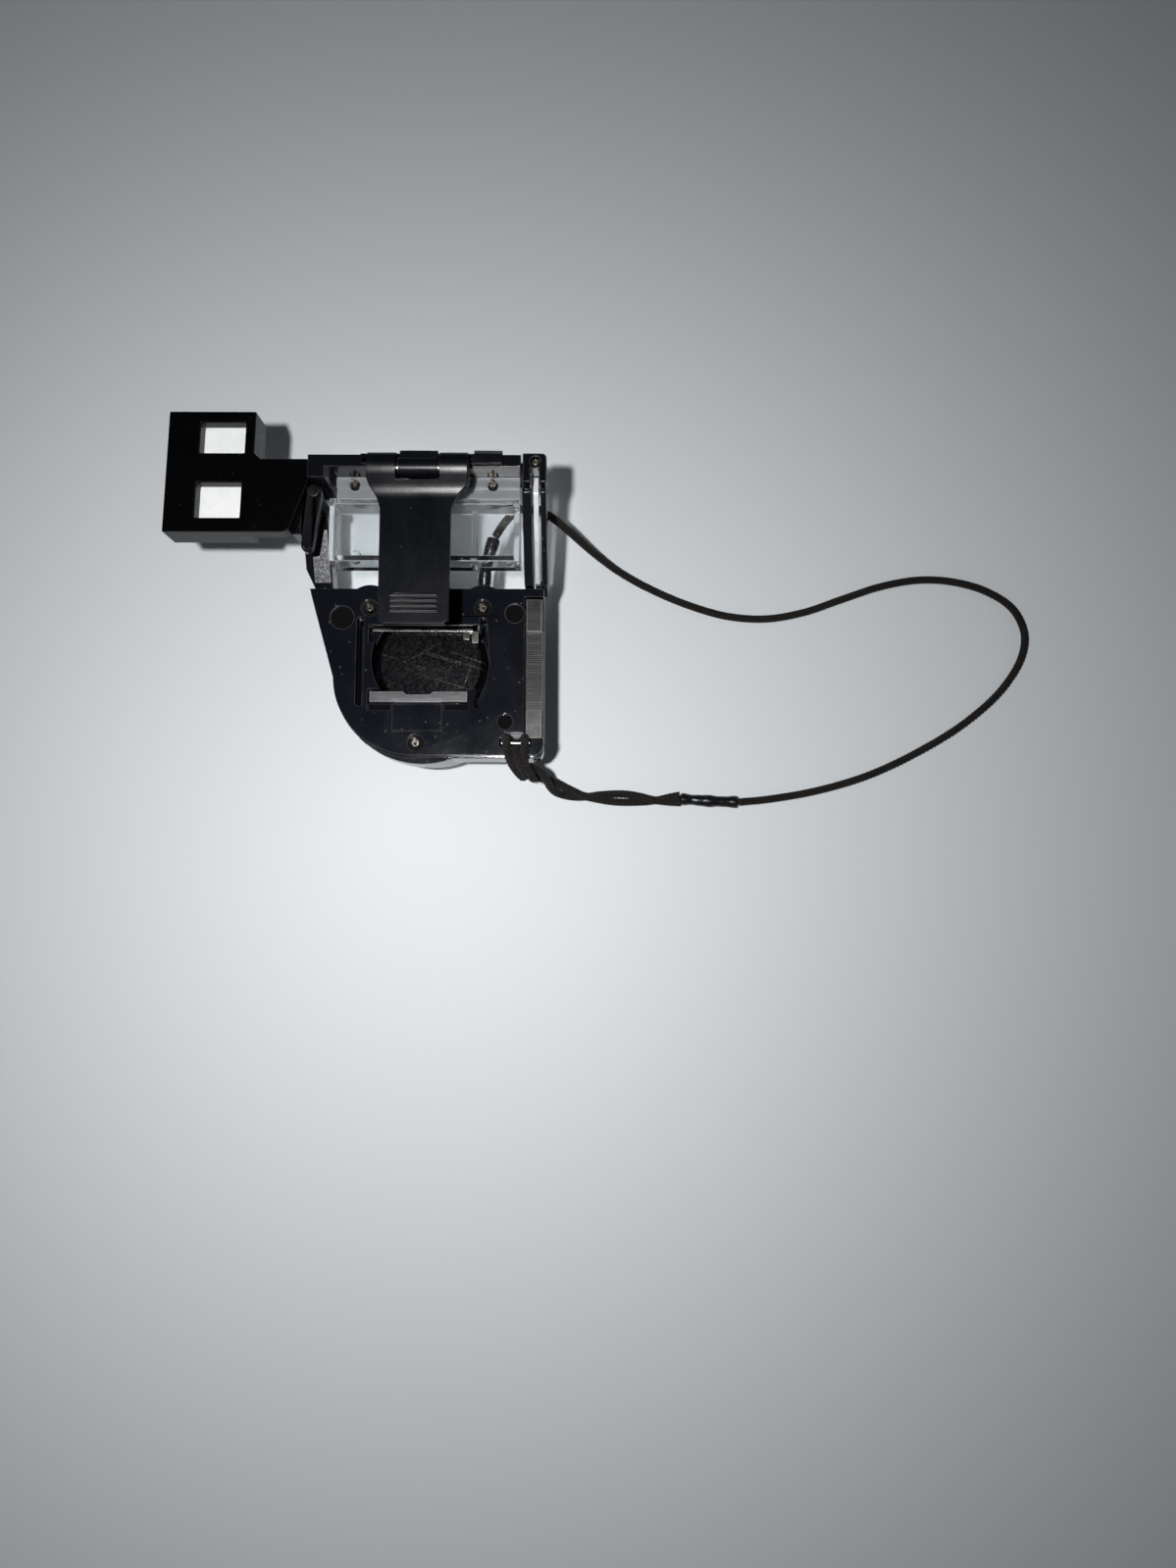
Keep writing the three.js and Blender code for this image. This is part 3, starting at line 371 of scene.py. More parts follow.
# ---- Tether ----
# The cord's other end is doubled and loosely twisted, and comes up beside the body to the corner
# slot. There it is hitched round the bar, one leg at each side, and its bight hangs out of the slot.
tether_route = [
    (48.9, -21.0, 1.9), (43.8, -21.3, 1.8), (38.8, -20.9, 1.8), (33.6, -20.7, 1.8),
    (28.6, -20.4, 2.0), (25.2, -19.5, 3.7), (22.9, -18.5, 7.2), (21.4, -17.95, 12.4),
    (20.4, -17.8, 17.6), (19.5, -17.75, 21.6),
]
twist_start, twist_turns = 0.4, 1.55
lying_height = 0.86 * mm
tether_axis = smooth_line(tether_route, spacing=0.2 * mm)
tether_sides, tether_ups = carried_axes(tether_axis)
twist = np.linspace(twist_start, twist_start + 2 * math.pi * twist_turns, len(tether_axis))
tether_ends = []


def tether_strand(name, start):
    """One of the two strands, half a cord's thickness off the pair's own line and never in the table."""
    angle = twist + start
    off = 0.5 * cord_thick * (np.cos(angle)[:, None] * tether_sides + np.sin(angle)[:, None] * tether_ups)
    line = tether_axis + off
    line[:, 2] = np.maximum(line[:, 2], lying_height)
    tether_ends.append(Vector(line[-1]))
    piece = braided(name, line, cord_thick, fibre)
    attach(piece, "housing")
    return piece


tether_a = tether_strand("tether_a", 0)
tether_strand("tether_b", math.pi)
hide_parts("tether_pair")
hitch_thick = 0.94 * cord_thick


def hitch_leg(name, route):
    """A short stretch of the cord inside the hitch, where it is squeezed a little thinner."""
    piece = braided(name, smooth_line(route, spacing=0.15 * mm), hitch_thick, fibre)
    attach(piece, "housing")
    return piece


end_a, end_b = (tuple((strand_end - at(0, 0, 0)) / mm) for strand_end in tether_ends)
right_leg = hitch_leg("hitch_right", [
    end_a, (19.2, -17.3, 23.9), (18.9, -16.3, 25.5), (18.8, -15.2, 26.0), (18.85, -14.1, 26.0),
    (18.9, -13.1, 26.05), (18.9, -12.2, 25.6), (18.8, -11.9, 24.2), (18.2, -12.4, 22.8), (17.4, -12.9, 22.3),
])
hitch_leg("hitch_left", [
    end_b, (18.3, -17.2, 24.2), (17.9, -16.3, 25.4), (17.3, -15.2, 25.5), (17.2, -14.3, 24.7),
    (17.0, -13.3, 22.9), (16.3, -12.3, 22.8), (15.7, -11.9, 24.2), (15.6, -12.3, 25.6), (15.6, -13.2, 26.05),
    (15.7, -14.2, 25.9), (15.95, -15.3, 25.6), (16.35, -16.4, 24.9), (17.0, -17.4, 22.8), (17.7, -18.2, 20.9),
    (18.3, -18.7, 20.3), (18.8, -18.5, 21.0), (18.4, -17.7, 22.9), (17.7, -16.6, 24.6), (17.0, -15.4, 25.0),
    (16.9, -14.5, 24.0),
])
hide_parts("tether_knot")

# ---- Drum ----
# The round front that the sensor looks out of: a polished black cup, moulded smooth, with a fine
# groove round its wall. The body is fixed on its rim.
def rounded(profile, reach, steps=3):
    """A profile of (radius, height) points with its corners cut to short curves."""
    closed = profile[0] == profile[-1]
    corners = [np.array(corner, float) for corner in (profile[:-1] if closed else profile)]
    eased = []
    for number, corner in enumerate(corners):
        if not closed and number in (0, len(corners) - 1):
            eased.append(corner)
            continue
        arms = [corners[number - 1] - corner, corners[(number + 1) % len(corners)] - corner]
        first, last = (corner + arm * min(reach / np.linalg.norm(arm), 0.45) for arm in arms)
        for t in np.linspace(0, 1, steps + 1):
            eased.append((1 - t) ** 2 * first + 2 * t * (1 - t) * corner + t**2 * last)
    if closed:
        eased.append(eased[0])
    return [tuple(point) for point in eased]


def lathe(name, profile, centre, material, around=128):
    """A profile turned about an upright axis; radius 0 is a pole, and a closed profile makes a ring."""
    points, rows = [], []
    for radius, height in profile:
        count = 1 if radius == 0 else around
        rows.append([len(points) + j % count for j in range(around)])
        for j in range(count):
            angle = 2 * math.pi * j / around
            x, y = centre[0] + radius * math.cos(angle), centre[1] + radius * math.sin(angle)
            points.append(at(x, y, height))
    if profile[0] == profile[-1]:
        points = points[:-around]
        rows[-1] = rows[0]
    faces = []
    for low, high in zip(rows, rows[1:]):
        for j in range(around):
            k = (j + 1) % around
            corners = list(dict.fromkeys((low[j], low[k], high[k], high[j])))
            if len(corners) > 2:
                faces.append(corners)
    return mesh_piece(name, points, faces, material)


crease_angle = math.radians(40)


def settle(piece, slot, *nodes, body="housing"):
    """Shades a piece by its angles, and fixes it to its body in place of its nodes."""
    piece.data.set_sharp_from_angle(angle=crease_angle)
    piece.modifiers.new("even_normals", "WEIGHTED_NORMAL").keep_sharp = True
    if nodes:
        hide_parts(*nodes)
    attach(piece, body)
    return piece


def attribute(tree, name):
    """A number stored on the mesh."""
    stored = tree.nodes.new("ShaderNodeAttribute")
    stored.attribute_name = name
    return stored.outputs["Fac"]


def on_edges(tree, share):
    """A share kept only on the rounded edges."""
    return times(tree, attribute(tree, "edge"), share)


def scratched(tree, shader, scale, width, turn, soft_end, strength):
    """Hairline scratches all one way, cut a little into the surface."""
    hairs = pattern(tree, "Noise", scale, stretch=(1, width, 1), turn=turn, Detail=2)
    raised(tree, shader, between(tree, hairs, 0.0, 1.0, start=0.62, end=soft_end), -0.004 * mm, strength)


def moulded_black(name, dark, light, sheen, grain, dust, edge_wear_and_highlight=(0.05, 0.05, 0.055), shine=0.35):
    """Black moulded plastic: fine grain, smears in the gloss, scratches, dust, and paler edges, partly rubbed
    and partly a painted highlight.
    """
    material, tree, shader = principled(name)
    speckle = pattern(tree, "Noise", 4200, Detail=3)
    smears = pattern(tree, "Noise", 140, Detail=5, Roughness=0.6)
    lint = pattern(tree, "Voronoi", 520)
    colour = shades(tree, speckle, (0.3, dark), (0.72, light))
    colour = over(tree, colour, (0.16, 0.165, 0.17), between(tree, lint, dust, 0.0, start=0.05, end=0.13))
    # Edges laid paler: partly rubbed wear, partly a painted highlight where the edges catch the light.
    colour = over(tree, colour, edge_wear_and_highlight, on_edges(tree, between(tree, smears, 0.15, 1.0, start=0.35, end=0.7)))
    coat(tree, shader, colour, between(tree, smears, *sheen, start=0.3, end=0.7), Specular_IOR_Level=shine)
    raised(tree, shader, speckle, grain * mm, 0.5)
    scratched(tree, shader, 260, 0.03, turn=0.6, soft_end=0.66, strength=0.35)
    return material


drum_gloss = moulded_black(
    "drum_gloss", (0.003, 0.003, 0.004), (0.006, 0.006, 0.008),
    sheen=(0.08, 0.2), grain=0.003, dust=0.25,
)
drum_centre = (0, 0)
drum_wall = [
    (13.4, 3.3), (14.55, 3.3), (15.0, 3.8), (15.0, 11.6), (14.75, 11.8), (14.75, 12.2), (15.0, 12.4),
    (15.0, 17.0), (13.4, 17.0), (13.4, 11.2), (12.1, 11.2), (12.1, 10.0), (13.4, 8.8), (13.4, 3.3),
]
drum = lathe("drum", rounded(drum_wall, reach=0.18), drum_centre, drum_gloss)
settle(drum, "drum_gloss", "drum_barrel")

# ---- Front bezel, lens and detector ----
# A satin black ring screws into the drum and holds a thin milky lens, stepped inside. Behind it, a
# steel detector can stands on a round green board with the few parts it needs.
case_satin = moulded_black(
    "case_satin", (0.002, 0.0025, 0.0045), (0.0055, 0.0065, 0.0105),
    sheen=(0.11, 0.19), grain=0.007, dust=0.3,
)
bezel_profile = [
    (9.9, 2.4), (11.6, 2.4), (11.6, 0.9), (12.6, 0.0), (14.5, 0.0), (15.0, 0.5), (15.0, 1.35),
    (14.8, 1.5), (14.8, 1.8), (15.0, 1.95), (15.0, 3.0), (9.9, 3.0), (9.9, 2.4),
]
bezel = lathe("bezel", rounded(bezel_profile, reach=0.12), drum_centre, case_satin)
settle(bezel, "case_black", "front_bezel")


def milky_plastic(name, dark, light):
    """Milk-white translucent plastic with faint clouds in it."""
    material, tree, shader = principled(name)
    clouds = pattern(tree, "Noise", 420, Detail=4)
    tint = shades(tree, clouds, (0.3, dark), (0.7, light))
    coat(tree, shader, tint, between(tree, clouds, 0.3, 0.5), Subsurface_Weight=0.15, Subsurface_Scale=2 * mm)
    raised(tree, shader, pattern(tree, "Noise", 3000), 0.008 * mm, 0.4)
    return material


lens_steps, stepped_radius, step_slope = 16, 9.6, 0.12
lens_top, step_floor = 2.05, 1.78
lens_profile = [(0, 0.7), (4.0, 0.76), (7.5, 0.9), (11.3, 1.25), (11.3, lens_top)]
for step in range(lens_steps, 0, -1):
    reach = stepped_radius * step / lens_steps
    lens_profile += [(reach, lens_top), (reach - step_slope, step_floor)]
lens_profile.append((0, step_floor))
lens_milk = milky_plastic("lens_milk", (0.66, 0.67, 0.66), (0.76, 0.77, 0.76))
lens = lathe("lens", lens_profile, drum_centre, lens_milk, around=96)
settle(lens, "lens_white", "fresnel_lens")


def plain_steel(name, dark, light, gloss):
    """Bare steel: a fine drawn grain, cloudy tarnish, and edges rubbed bright."""
    material, tree, shader = principled(name)
    drawn = pattern(tree, "Noise", 1500, stretch=(1, 0.04, 1), Detail=3)
    clouds = pattern(tree, "Noise", 330, Detail=5, Roughness=0.65)
    colour = shades(tree, clouds, (0.32, dark), (0.68, light))
    bright = tuple(min(1, 1.9 * part + 0.06) for part in light)
    colour = over(tree, colour, bright, on_edges(tree, between(tree, drawn, 0.3, 1.0)))
    coat(tree, shader, colour, between(tree, clouds, *gloss, start=0.3, end=0.7), Metallic=1.0)
    raised(tree, shader, drawn, 0.01 * mm, 0.5)
    return material


weld_gap = 0.002 * mm
flat_within = math.radians(1.5)
sharp_from = math.radians(30)


def whole_copy(node):
    """The node's solid with its triangles merged and its flat faces whole, ready to be worked."""
    work = bmesh.new()
    work.from_mesh(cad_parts[node].data)
    bmesh.ops.remove_doubles(work, verts=work.verts, dist=weld_gap)
    bmesh.ops.dissolve_limit(work, angle_limit=flat_within, verts=work.verts, edges=work.edges)
    return work


def soften(work, width):
    """Rounds the sharp edges. The corners of each rounding's faces carry edge = 1."""
    sharp = [e for e in work.edges if e.is_manifold and e.calc_face_angle() > sharp_from]
    rounding = bmesh.ops.bevel(
        work, geom=sharp, offset=width * mm, offset_type="OFFSET", segments=2, profile=0.5,
        affect="EDGES", clamp_overlap=False,
    )
    edge = work.loops.layers.float.new("edge")
    for face in rounding["faces"]:
        for corner in face.loops:
            corner[edge] = 1


def dressed(name, node, material, slot, body="housing", width=0.1, rework=None, extra=()):
    """A node's shape as a finished piece: reworked if need be, its edges rounded, in its own material."""
    work = whole_copy(node)
    if rework:
        rework(work)
    soften(work, width)
    mesh = bpy.data.meshes.new(name)
    work.to_mesh(mesh)
    work.free()
    mesh.polygons.foreach_set("use_smooth", [True] * len(mesh.polygons))
    for layer in (material, *extra):
        mesh.materials.append(layer)
    piece = bpy.data.objects.new(name, mesh)
    scene.collection.objects.link(piece)
    return settle(piece, slot, node, body=body)


def solder_mask():
    """Green solder mask over copper lines, with bare pads between."""
    material, tree, shader = principled("solder_mask")
    lines = pattern(tree, "Brick", 260)
    colour = shades(tree, lines, (0.2, (0.012, 0.075, 0.03)), (0.8, (0.022, 0.12, 0.055)))
    pads = between(tree, pattern(tree, "Voronoi", 480), 1.0, 0.0, start=0.12, end=0.16)
    coat(tree, shader, over(tree, colour, (0.62, 0.6, 0.52), pads), between(tree, pads, 0.35, 0.25))
    raised(tree, shader, lines, 0.02 * mm, 0.5)
    return material


can_steel = plain_steel("can_steel", (0.42, 0.42, 0.43), (0.6, 0.6, 0.61), (0.22, 0.35))
dressed("detector_can", "sensor_can", can_steel, "cell_steel", width=0.15)
dressed("board", "circuit_board", solder_mask(), "board_green", width=0.08)

# ---- Front case and back cover ----
# Two satin black mouldings, screwed together at three bosses. The cover has the battery opening, two
# long slots beside it, a raised pad to press, and the shallow discs that the mould's pins leave.
dressed("lower_case", "front_case", case_satin, "case_black")


def painted_shade_black():
    """Painted shade: a rough near-black for the floors of grooves and marks in the moulding, where shade
    falls.
    """
    material, tree, shader = principled("painted_shade_black")
    shade_grain = pattern(tree, "Noise", 2600, Detail=4)
    tint = shades(tree, shade_grain, (0.3, (0.0006, 0.0006, 0.001)), (0.8, (0.0018, 0.0018, 0.0026)))
    coat(tree, shader, tint, between(tree, shade_grain, 0.7, 0.95), Specular_IOR_Level=0.1)
    raised(tree, shader, shade_grain, 0.02 * mm, 0.6)
    return material


sunk_below = at(0, 0, 25.5).z - 0.1 * mm


def paint_shade_in_recesses(work):
    """Floors sunk under the cover's skin take the second material, a painted shade."""
    for face in work.faces:
        if face.normal.z > 0.5 and face.calc_center_median().z < sunk_below:
            face.material_index = 1


# The cover's sunk floors are painted near-black as shade.
dressed("cover", "back_cover", case_satin, "case_black", rework=paint_shade_in_recesses, extra=(painted_shade_black(),))

# ---- Battery ----
# A 20 mm coin cell in its well, its steel can darkened and scratched by handling, under a thin spring
# strip along the opening's upper edge and a grey bar that hooks over its lower edge.
def cell_can():
    """Dark handled steel: clouded, pitted, with a few long fine scratches across it."""
    material, tree, shader = principled("cell_can")
    clouds = pattern(tree, "Noise", 190, Detail=6, Roughness=0.7)
    pits = pattern(tree, "Noise", 2400, Detail=3)
    colour = shades(
        tree, clouds,
        (0.3, (0.006, 0.006, 0.008)), (0.55, (0.014, 0.014, 0.016)), (0.8, (0.034, 0.031, 0.028)),
    )
    for turn, scale, least in ((-0.3, 60, 0.73), (1.2, 80, 0.77), (0.5, 50, 0.74)):
        streak = pattern(tree, "Noise", scale, stretch=(1, 0.02, 1), turn=turn, Detail=0)
        streak = between(tree, streak, 0.0, 0.3, start=least, end=least + 0.02)
        colour = over(tree, colour, (0.24, 0.22, 0.19), streak)
    coat(tree, shader, colour, between(tree, pits, 0.15, 0.34, start=0.3, end=0.7), Metallic=0.85)
    raised(tree, shader, pits, 0.004 * mm, 0.4)
    raised(tree, shader, clouds, 0.05 * mm, 0.4)
    return material


cell_centre = (1.4, 2.3)
cell_profile = [
    (0, 22.66), (6.0, 22.7), (9.2, 22.68), (9.45, 22.55), (9.75, 22.4), (9.95, 22.1),
    (10.0, 21.6), (10.0, 20.2), (9.7, 19.6), (9.2, 19.5), (0, 19.5),
]
cell = lathe("cell", rounded(cell_profile, reach=0.12), cell_centre, cell_can())
settle(cell, "cell_steel", "coin_cell")
contact_steel = plain_steel("contact_steel", (0.05, 0.048, 0.046), (0.2, 0.195, 0.185), (0.2, 0.36))
dressed("contact_above", "battery_contact_upper", contact_steel, "steel", width=0.07)
dressed("contact_below", "battery_contact_lower", contact_steel, "steel", width=0.07)


def grey_plastic():
    """Mid-grey satin plastic, its long edge rubbed paler."""
    material, tree, shader = principled("grey_plastic")
    grain = pattern(tree, "Noise", 2300, stretch=(5, 1, 1), Detail=4)
    stains = pattern(tree, "Noise", 260, Detail=4)
    colour = shades(tree, grain, (0.3, (0.035, 0.036, 0.04)), (0.7, (0.085, 0.087, 0.092)))
    colour = over(tree, colour, (0.32, 0.32, 0.33), on_edges(tree, between(tree, stains, 0.2, 1.0)))
    coat(tree, shader, colour, between(tree, stains, 0.28, 0.5))
    raised(tree, shader, grain, 0.01 * mm, 0.6)
    return material


dressed("hook_bar", "battery_bar", grey_plastic(), "bar_grey", width=0.14)

# ---- Screws ----
# Small cross-head screws of darkened steel, turned down into the cover's counterbores and the clear
# tray's flange. Every screw has a domed head with a struck cross and a plain shank.
def sized_tree(name, sizes):
    """A geometry tree with a named input for the start, for each size and for the material."""
    tree = bpy.data.node_groups.new(name, "GeometryNodeTree")
    tree.interface.new_socket("Geometry", in_out="INPUT", socket_type="NodeSocketGeometry")
    for label in sizes:
        tree.interface.new_socket(label, in_out="INPUT", socket_type="NodeSocketFloat")
    tree.interface.new_socket("Finish", in_out="INPUT", socket_type="NodeSocketMaterial")
    tree.interface.new_socket("Geometry", in_out="OUTPUT", socket_type="NodeSocketGeometry")
    return tree, tree.nodes.new("NodeGroupInput").outputs


def add(tree, kind, **inputs):
    """A node with its inputs set, or linked where the value is another node's output."""
    made = tree.nodes.new(kind)
    for label, value in inputs.items():
        socket = made.inputs[label.replace("_", " ")]
        for one in value if isinstance(value, list) else [value]:
            if isinstance(one, bpy.types.NodeSocket):
                tree.links.new(one, socket)
            else:
                socket.default_value = one
    return made


def worked_out(tree, operation, first, second):
    """One size worked out from two."""
    made = tree.nodes.new("ShaderNodeMath")
    made.operation = operation
    for socket, value in zip(made.inputs, (first, second)):
        if isinstance(value, bpy.types.NodeSocket):
            tree.links.new(value, socket)
        else:
            socket.default_value = value
    return made.outputs["Value"]


def vector(tree, x=0.0, y=0.0, z=0.0):
    """Three sizes as one vector."""
    return add(tree, "ShaderNodeCombineXYZ", X=x, Y=y, Z=z).outputs["Vector"]


def lifted(tree, geometry, height):
    """Geometry moved up by a height."""
    moved = add(tree, "GeometryNodeTransform", Geometry=geometry, Translation=vector(tree, z=height))
    return moved.outputs["Geometry"]


def close_tree(tree, geometry, inputs):
    """Makes the copies real and gives them the finish."""
    real = add(tree, "GeometryNodeRealizeInstances", Geometry=geometry).outputs["Geometry"]
    finished = add(tree, "GeometryNodeSetMaterial", Geometry=real, Material=inputs["Finish"])
    tree.links.new(finished.outputs["Geometry"], tree.nodes.new("NodeGroupOutput").inputs["Geometry"])


def grown(name, tree, places, turns, sizes, finish):
    """Runs a tree on points at the places, and keeps the result as a plain mesh."""
    start = bpy.data.meshes.new(name)
    start.from_pydata([tuple(place) for place in places], [], [])
    start.attributes.new("turn", "FLOAT", "POINT").data.foreach_set("value", turns)
    piece = bpy.data.objects.new(name, start)
    scene.collection.objects.link(piece)
    build = piece.modifiers.new("build", "NODES")
    build.node_group = tree
    sockets = {item.name: item.identifier for item in tree.interface.items_tree if item.in_out == "INPUT"}
    for label, size in sizes.items():
        build[sockets[label]] = size
    build[sockets["Finish"]] = finish
    result = bpy.data.meshes.new_from_object(piece.evaluated_get(bpy.context.evaluated_depsgraph_get()))
    piece.modifiers.remove(build)
    piece.data = result
    result.polygons.foreach_set("use_smooth", [True] * len(result.polygons))
    return piece


def screw_tree():
    """A domed head with a cross struck in it, and a shank, at each start point."""
    tree, size = sized_tree("screw", ("Head Radius", "Head Height", "Shank Radius", "Shank Length"))
    radius, height, shank_length = size["Head Radius"], size["Head Height"], size["Shank Length"]
    disc = add(tree, "GeometryNodeMeshCylinder", Vertices=40, Radius=radius, Depth=height).outputs["Mesh"]
    disc = lifted(tree, disc, worked_out(tree, "MULTIPLY", height, 0.5))
    dome_radius = worked_out(tree, "MULTIPLY", radius, 1.55)
    dome = add(tree, "GeometryNodeMeshUVSphere", Segments=48, Rings=32, Radius=dome_radius).outputs["Mesh"]
    dome = lifted(tree, dome, worked_out(tree, "SUBTRACT", height, dome_radius))
    head = add(tree, "GeometryNodeMeshBoolean")
    head.operation = "INTERSECT"
    for part in (disc, dome):
        tree.links.new(part, head.inputs["Mesh 2"])
    arm_length = worked_out(tree, "MULTIPLY", radius, 1.25)
    arm_width = worked_out(tree, "MULTIPLY", radius, 0.26)
    struck = add(tree, "GeometryNodeMeshBoolean")
    struck.operation = "DIFFERENCE"
    tree.links.new(head.outputs["Mesh"], struck.inputs["Mesh 1"])
    for x, y in ((arm_length, arm_width), (arm_width, arm_length)):
        bar = add(tree, "GeometryNodeMeshCube", Size=vector(tree, x, y, height)).outputs["Mesh"]
        tree.links.new(lifted(tree, bar, worked_out(tree, "MULTIPLY", height, 1.02)), struck.inputs["Mesh 2"])
    rod = add(tree, "GeometryNodeMeshCylinder", Vertices=20, Radius=size["Shank Radius"], Depth=shank_length)
    shank = lifted(tree, rod.outputs["Mesh"], worked_out(tree, "MULTIPLY", shank_length, -0.49))
    whole = add(tree, "GeometryNodeJoinGeometry", Geometry=[struck.outputs["Mesh"], shank])
    turn = add(tree, "GeometryNodeInputNamedAttribute", Name="turn").outputs["Attribute"]
    copies = add(
        tree, "GeometryNodeInstanceOnPoints", Points=size["Geometry"], Instance=whole.outputs["Geometry"],
        Rotation=vector(tree, z=turn),
    )
    close_tree(tree, copies.outputs["Instances"], size)
    return tree


screw = screw_tree()
screw_steel = plain_steel("screw_steel", (0.045, 0.04, 0.033), (0.17, 0.15, 0.125), (0.25, 0.45))
cover_seat, tray_seat = 25.1, 33.7
cover_screws = grown(
    "cover_screws", screw, [at(x, y, cover_seat) for x, y in ((-9.5, 11.8), (11.1, 11.8), (-0.8, -13))],
    [0.35, 0.8, 0.06],
    {"Head Radius": 1.25 * mm, "Head Height": 0.65 * mm, "Shank Radius": 0.65 * mm, "Shank Length": 5.2 * mm},
    screw_steel,
)
settle(cover_screws, "screw_steel", "cover_screw_left", "cover_screw_right", "cover_screw_bottom")
tray_screws = grown(
    "tray_screws", screw, [at(x, 31.9, tray_seat) for x in (-11, 13.4)], [0.5, 0.2],
    {"Head Radius": 1.05 * mm, "Head Height": 0.6 * mm, "Shank Radius": 0.65 * mm, "Shank Length": 4 * mm},
    screw_steel,
)
settle(tray_screws, "screw_steel", "tray_screw_left", "tray_screw_right")

# ---- Side strip and lanyard bar ----
# An aluminium strip let into the body's right side, dusty, with a recess milled across it in fine
# cuts. A short bright bar crosses the slot in the corner for the cord.
def share_towards(tree, first, last, low, high):
    """A share that runs from low to high between two places along Y, in millimetres from the drum."""
    place = tree.nodes.new("ShaderNodeTexCoord")
    axes = tree.nodes.new("ShaderNodeSeparateXYZ")
    tree.links.new(place.outputs["Object"], axes.inputs["Vector"])
    return between(tree, axes.outputs["Y"], low, high, start=at(0, first, 0).y, end=at(0, last, 0).y)


def strip_metal():
    """Dusty aluminium: cross grain, grey dust in clouds, paler towards the slot, bright rubbed edges."""
    material, tree, shader = principled("strip_metal")
    cuts = pattern(tree, "Noise", 700, stretch=(8, 0.12, 1), Detail=4)
    dust = pattern(tree, "Noise", 360, Detail=6, Roughness=0.7)
    colour = shades(
        tree, dust,
        (0.3, (0.011, 0.011, 0.012)), (0.55, (0.026, 0.0255, 0.025)), (0.8, (0.055, 0.054, 0.052)),
    )
    colour = over(tree, colour, (0.11, 0.107, 0.104), between(tree, cuts, 0.0, 0.6, start=0.55, end=0.75))
    pale = share_towards(tree, -10, -2, low=0.55, high=0.0)
    colour = over(tree, colour, (0.14, 0.137, 0.134), times(tree, pale, between(tree, dust, 0.4, 1.0)))
    colour = over(tree, colour, (0.42, 0.41, 0.4), on_edges(tree, between(tree, dust, 0.0, 0.9)))
    coat(tree, shader, colour, between(tree, dust, 0.38, 0.7, start=0.3, end=0.7), Metallic=0.55)
    raised(tree, shader, cuts, 0.02 * mm, 0.7)
    return material


strip_finish = strip_metal()
dressed("strip", "side_strip", strip_finish, "strip_metal", width=0.16)


def rib_tree(narrowest=0.75, widest=1.25):
    """Round-backed ribs at the start points, each a little wider or narrower than the next."""
    tree, size = sized_tree("ribs", ("Length", "Width", "Height"))
    rod = add(tree, "GeometryNodeMeshCylinder", Vertices=10, Radius=0.5, Depth=1.0).outputs["Mesh"]
    lying = add(tree, "GeometryNodeTransform", Geometry=rod, Rotation=(0, math.pi / 2, 0)).outputs["Geometry"]
    spread = add(tree, "FunctionNodeRandomValue", Seed=7)  # inputs 2 and 3 and output 1 are its floats
    spread.inputs[2].default_value = narrowest
    spread.inputs[3].default_value = widest
    width = worked_out(tree, "MULTIPLY", size["Width"], spread.outputs[1])
    copies = add(
        tree, "GeometryNodeInstanceOnPoints", Points=size["Geometry"], Instance=lying,
        Scale=vector(tree, size["Length"], width, size["Height"]),
    )
    close_tree(tree, copies.outputs["Instances"], size)
    return tree


recess_start, recess_end, recess_cuts = -6.9, 7.5, 42
recess_middle, recess_floor = 20.5, 24.6
cut_pitch = (recess_end - recess_start) / recess_cuts
milled = grown(
    "strip_cuts", rib_tree(),
    [at(recess_middle, recess_start + cut_pitch * (i + 0.5), recess_floor) for i in range(recess_cuts)],
    [0] * recess_cuts, {"Length": 2.9 * mm, "Width": cut_pitch * 0.8 * mm, "Height": 0.09 * mm}, strip_finish,
)
settle(milled, "strip_metal")
bright_steel = plain_steel("bright_steel", (0.2, 0.2, 0.205), (0.42, 0.42, 0.43), (0.25, 0.4))
dressed("cord_bar", "lanyard_bar", bright_steel, "steel", width=0.08)

# ---- Window frame, side rail and corner cap ----
# One open black moulding that rises towards the hinge end, a thin outer rail beside it with a pale
# metal strip in the gap, made as bright as the lit table seen through there, partly a painted light,
# and a notched cap on the corner with the end of a pin showing in it.
frame_satin = moulded_black(
    "frame_satin", (0.002, 0.0023, 0.0035), (0.0055, 0.006, 0.008),
    sheen=(0.11, 0.19), grain=0.007, dust=0.4,
)
dressed("open_frame", "window_frame", frame_satin, "case_black")
dressed("outer_rail", "side_rail", frame_satin, "case_black")
# Partly painted light: the guide's steel is near-white, as bright as the lit table seen through the gap.
guide_steel_and_gap_light = plain_steel("guide_steel_and_gap_light", (0.62, 0.63, 0.64), (0.84, 0.85, 0.86), (0.45, 0.65))
dressed("guide", "guide_strip", guide_steel_and_gap_light, "steel", width=0.12)
dressed("cap", "corner_cap", frame_satin, "case_black", width=0.2)
dressed("cap_pin", "corner_pin", screw_steel, "steel", width=0.06)

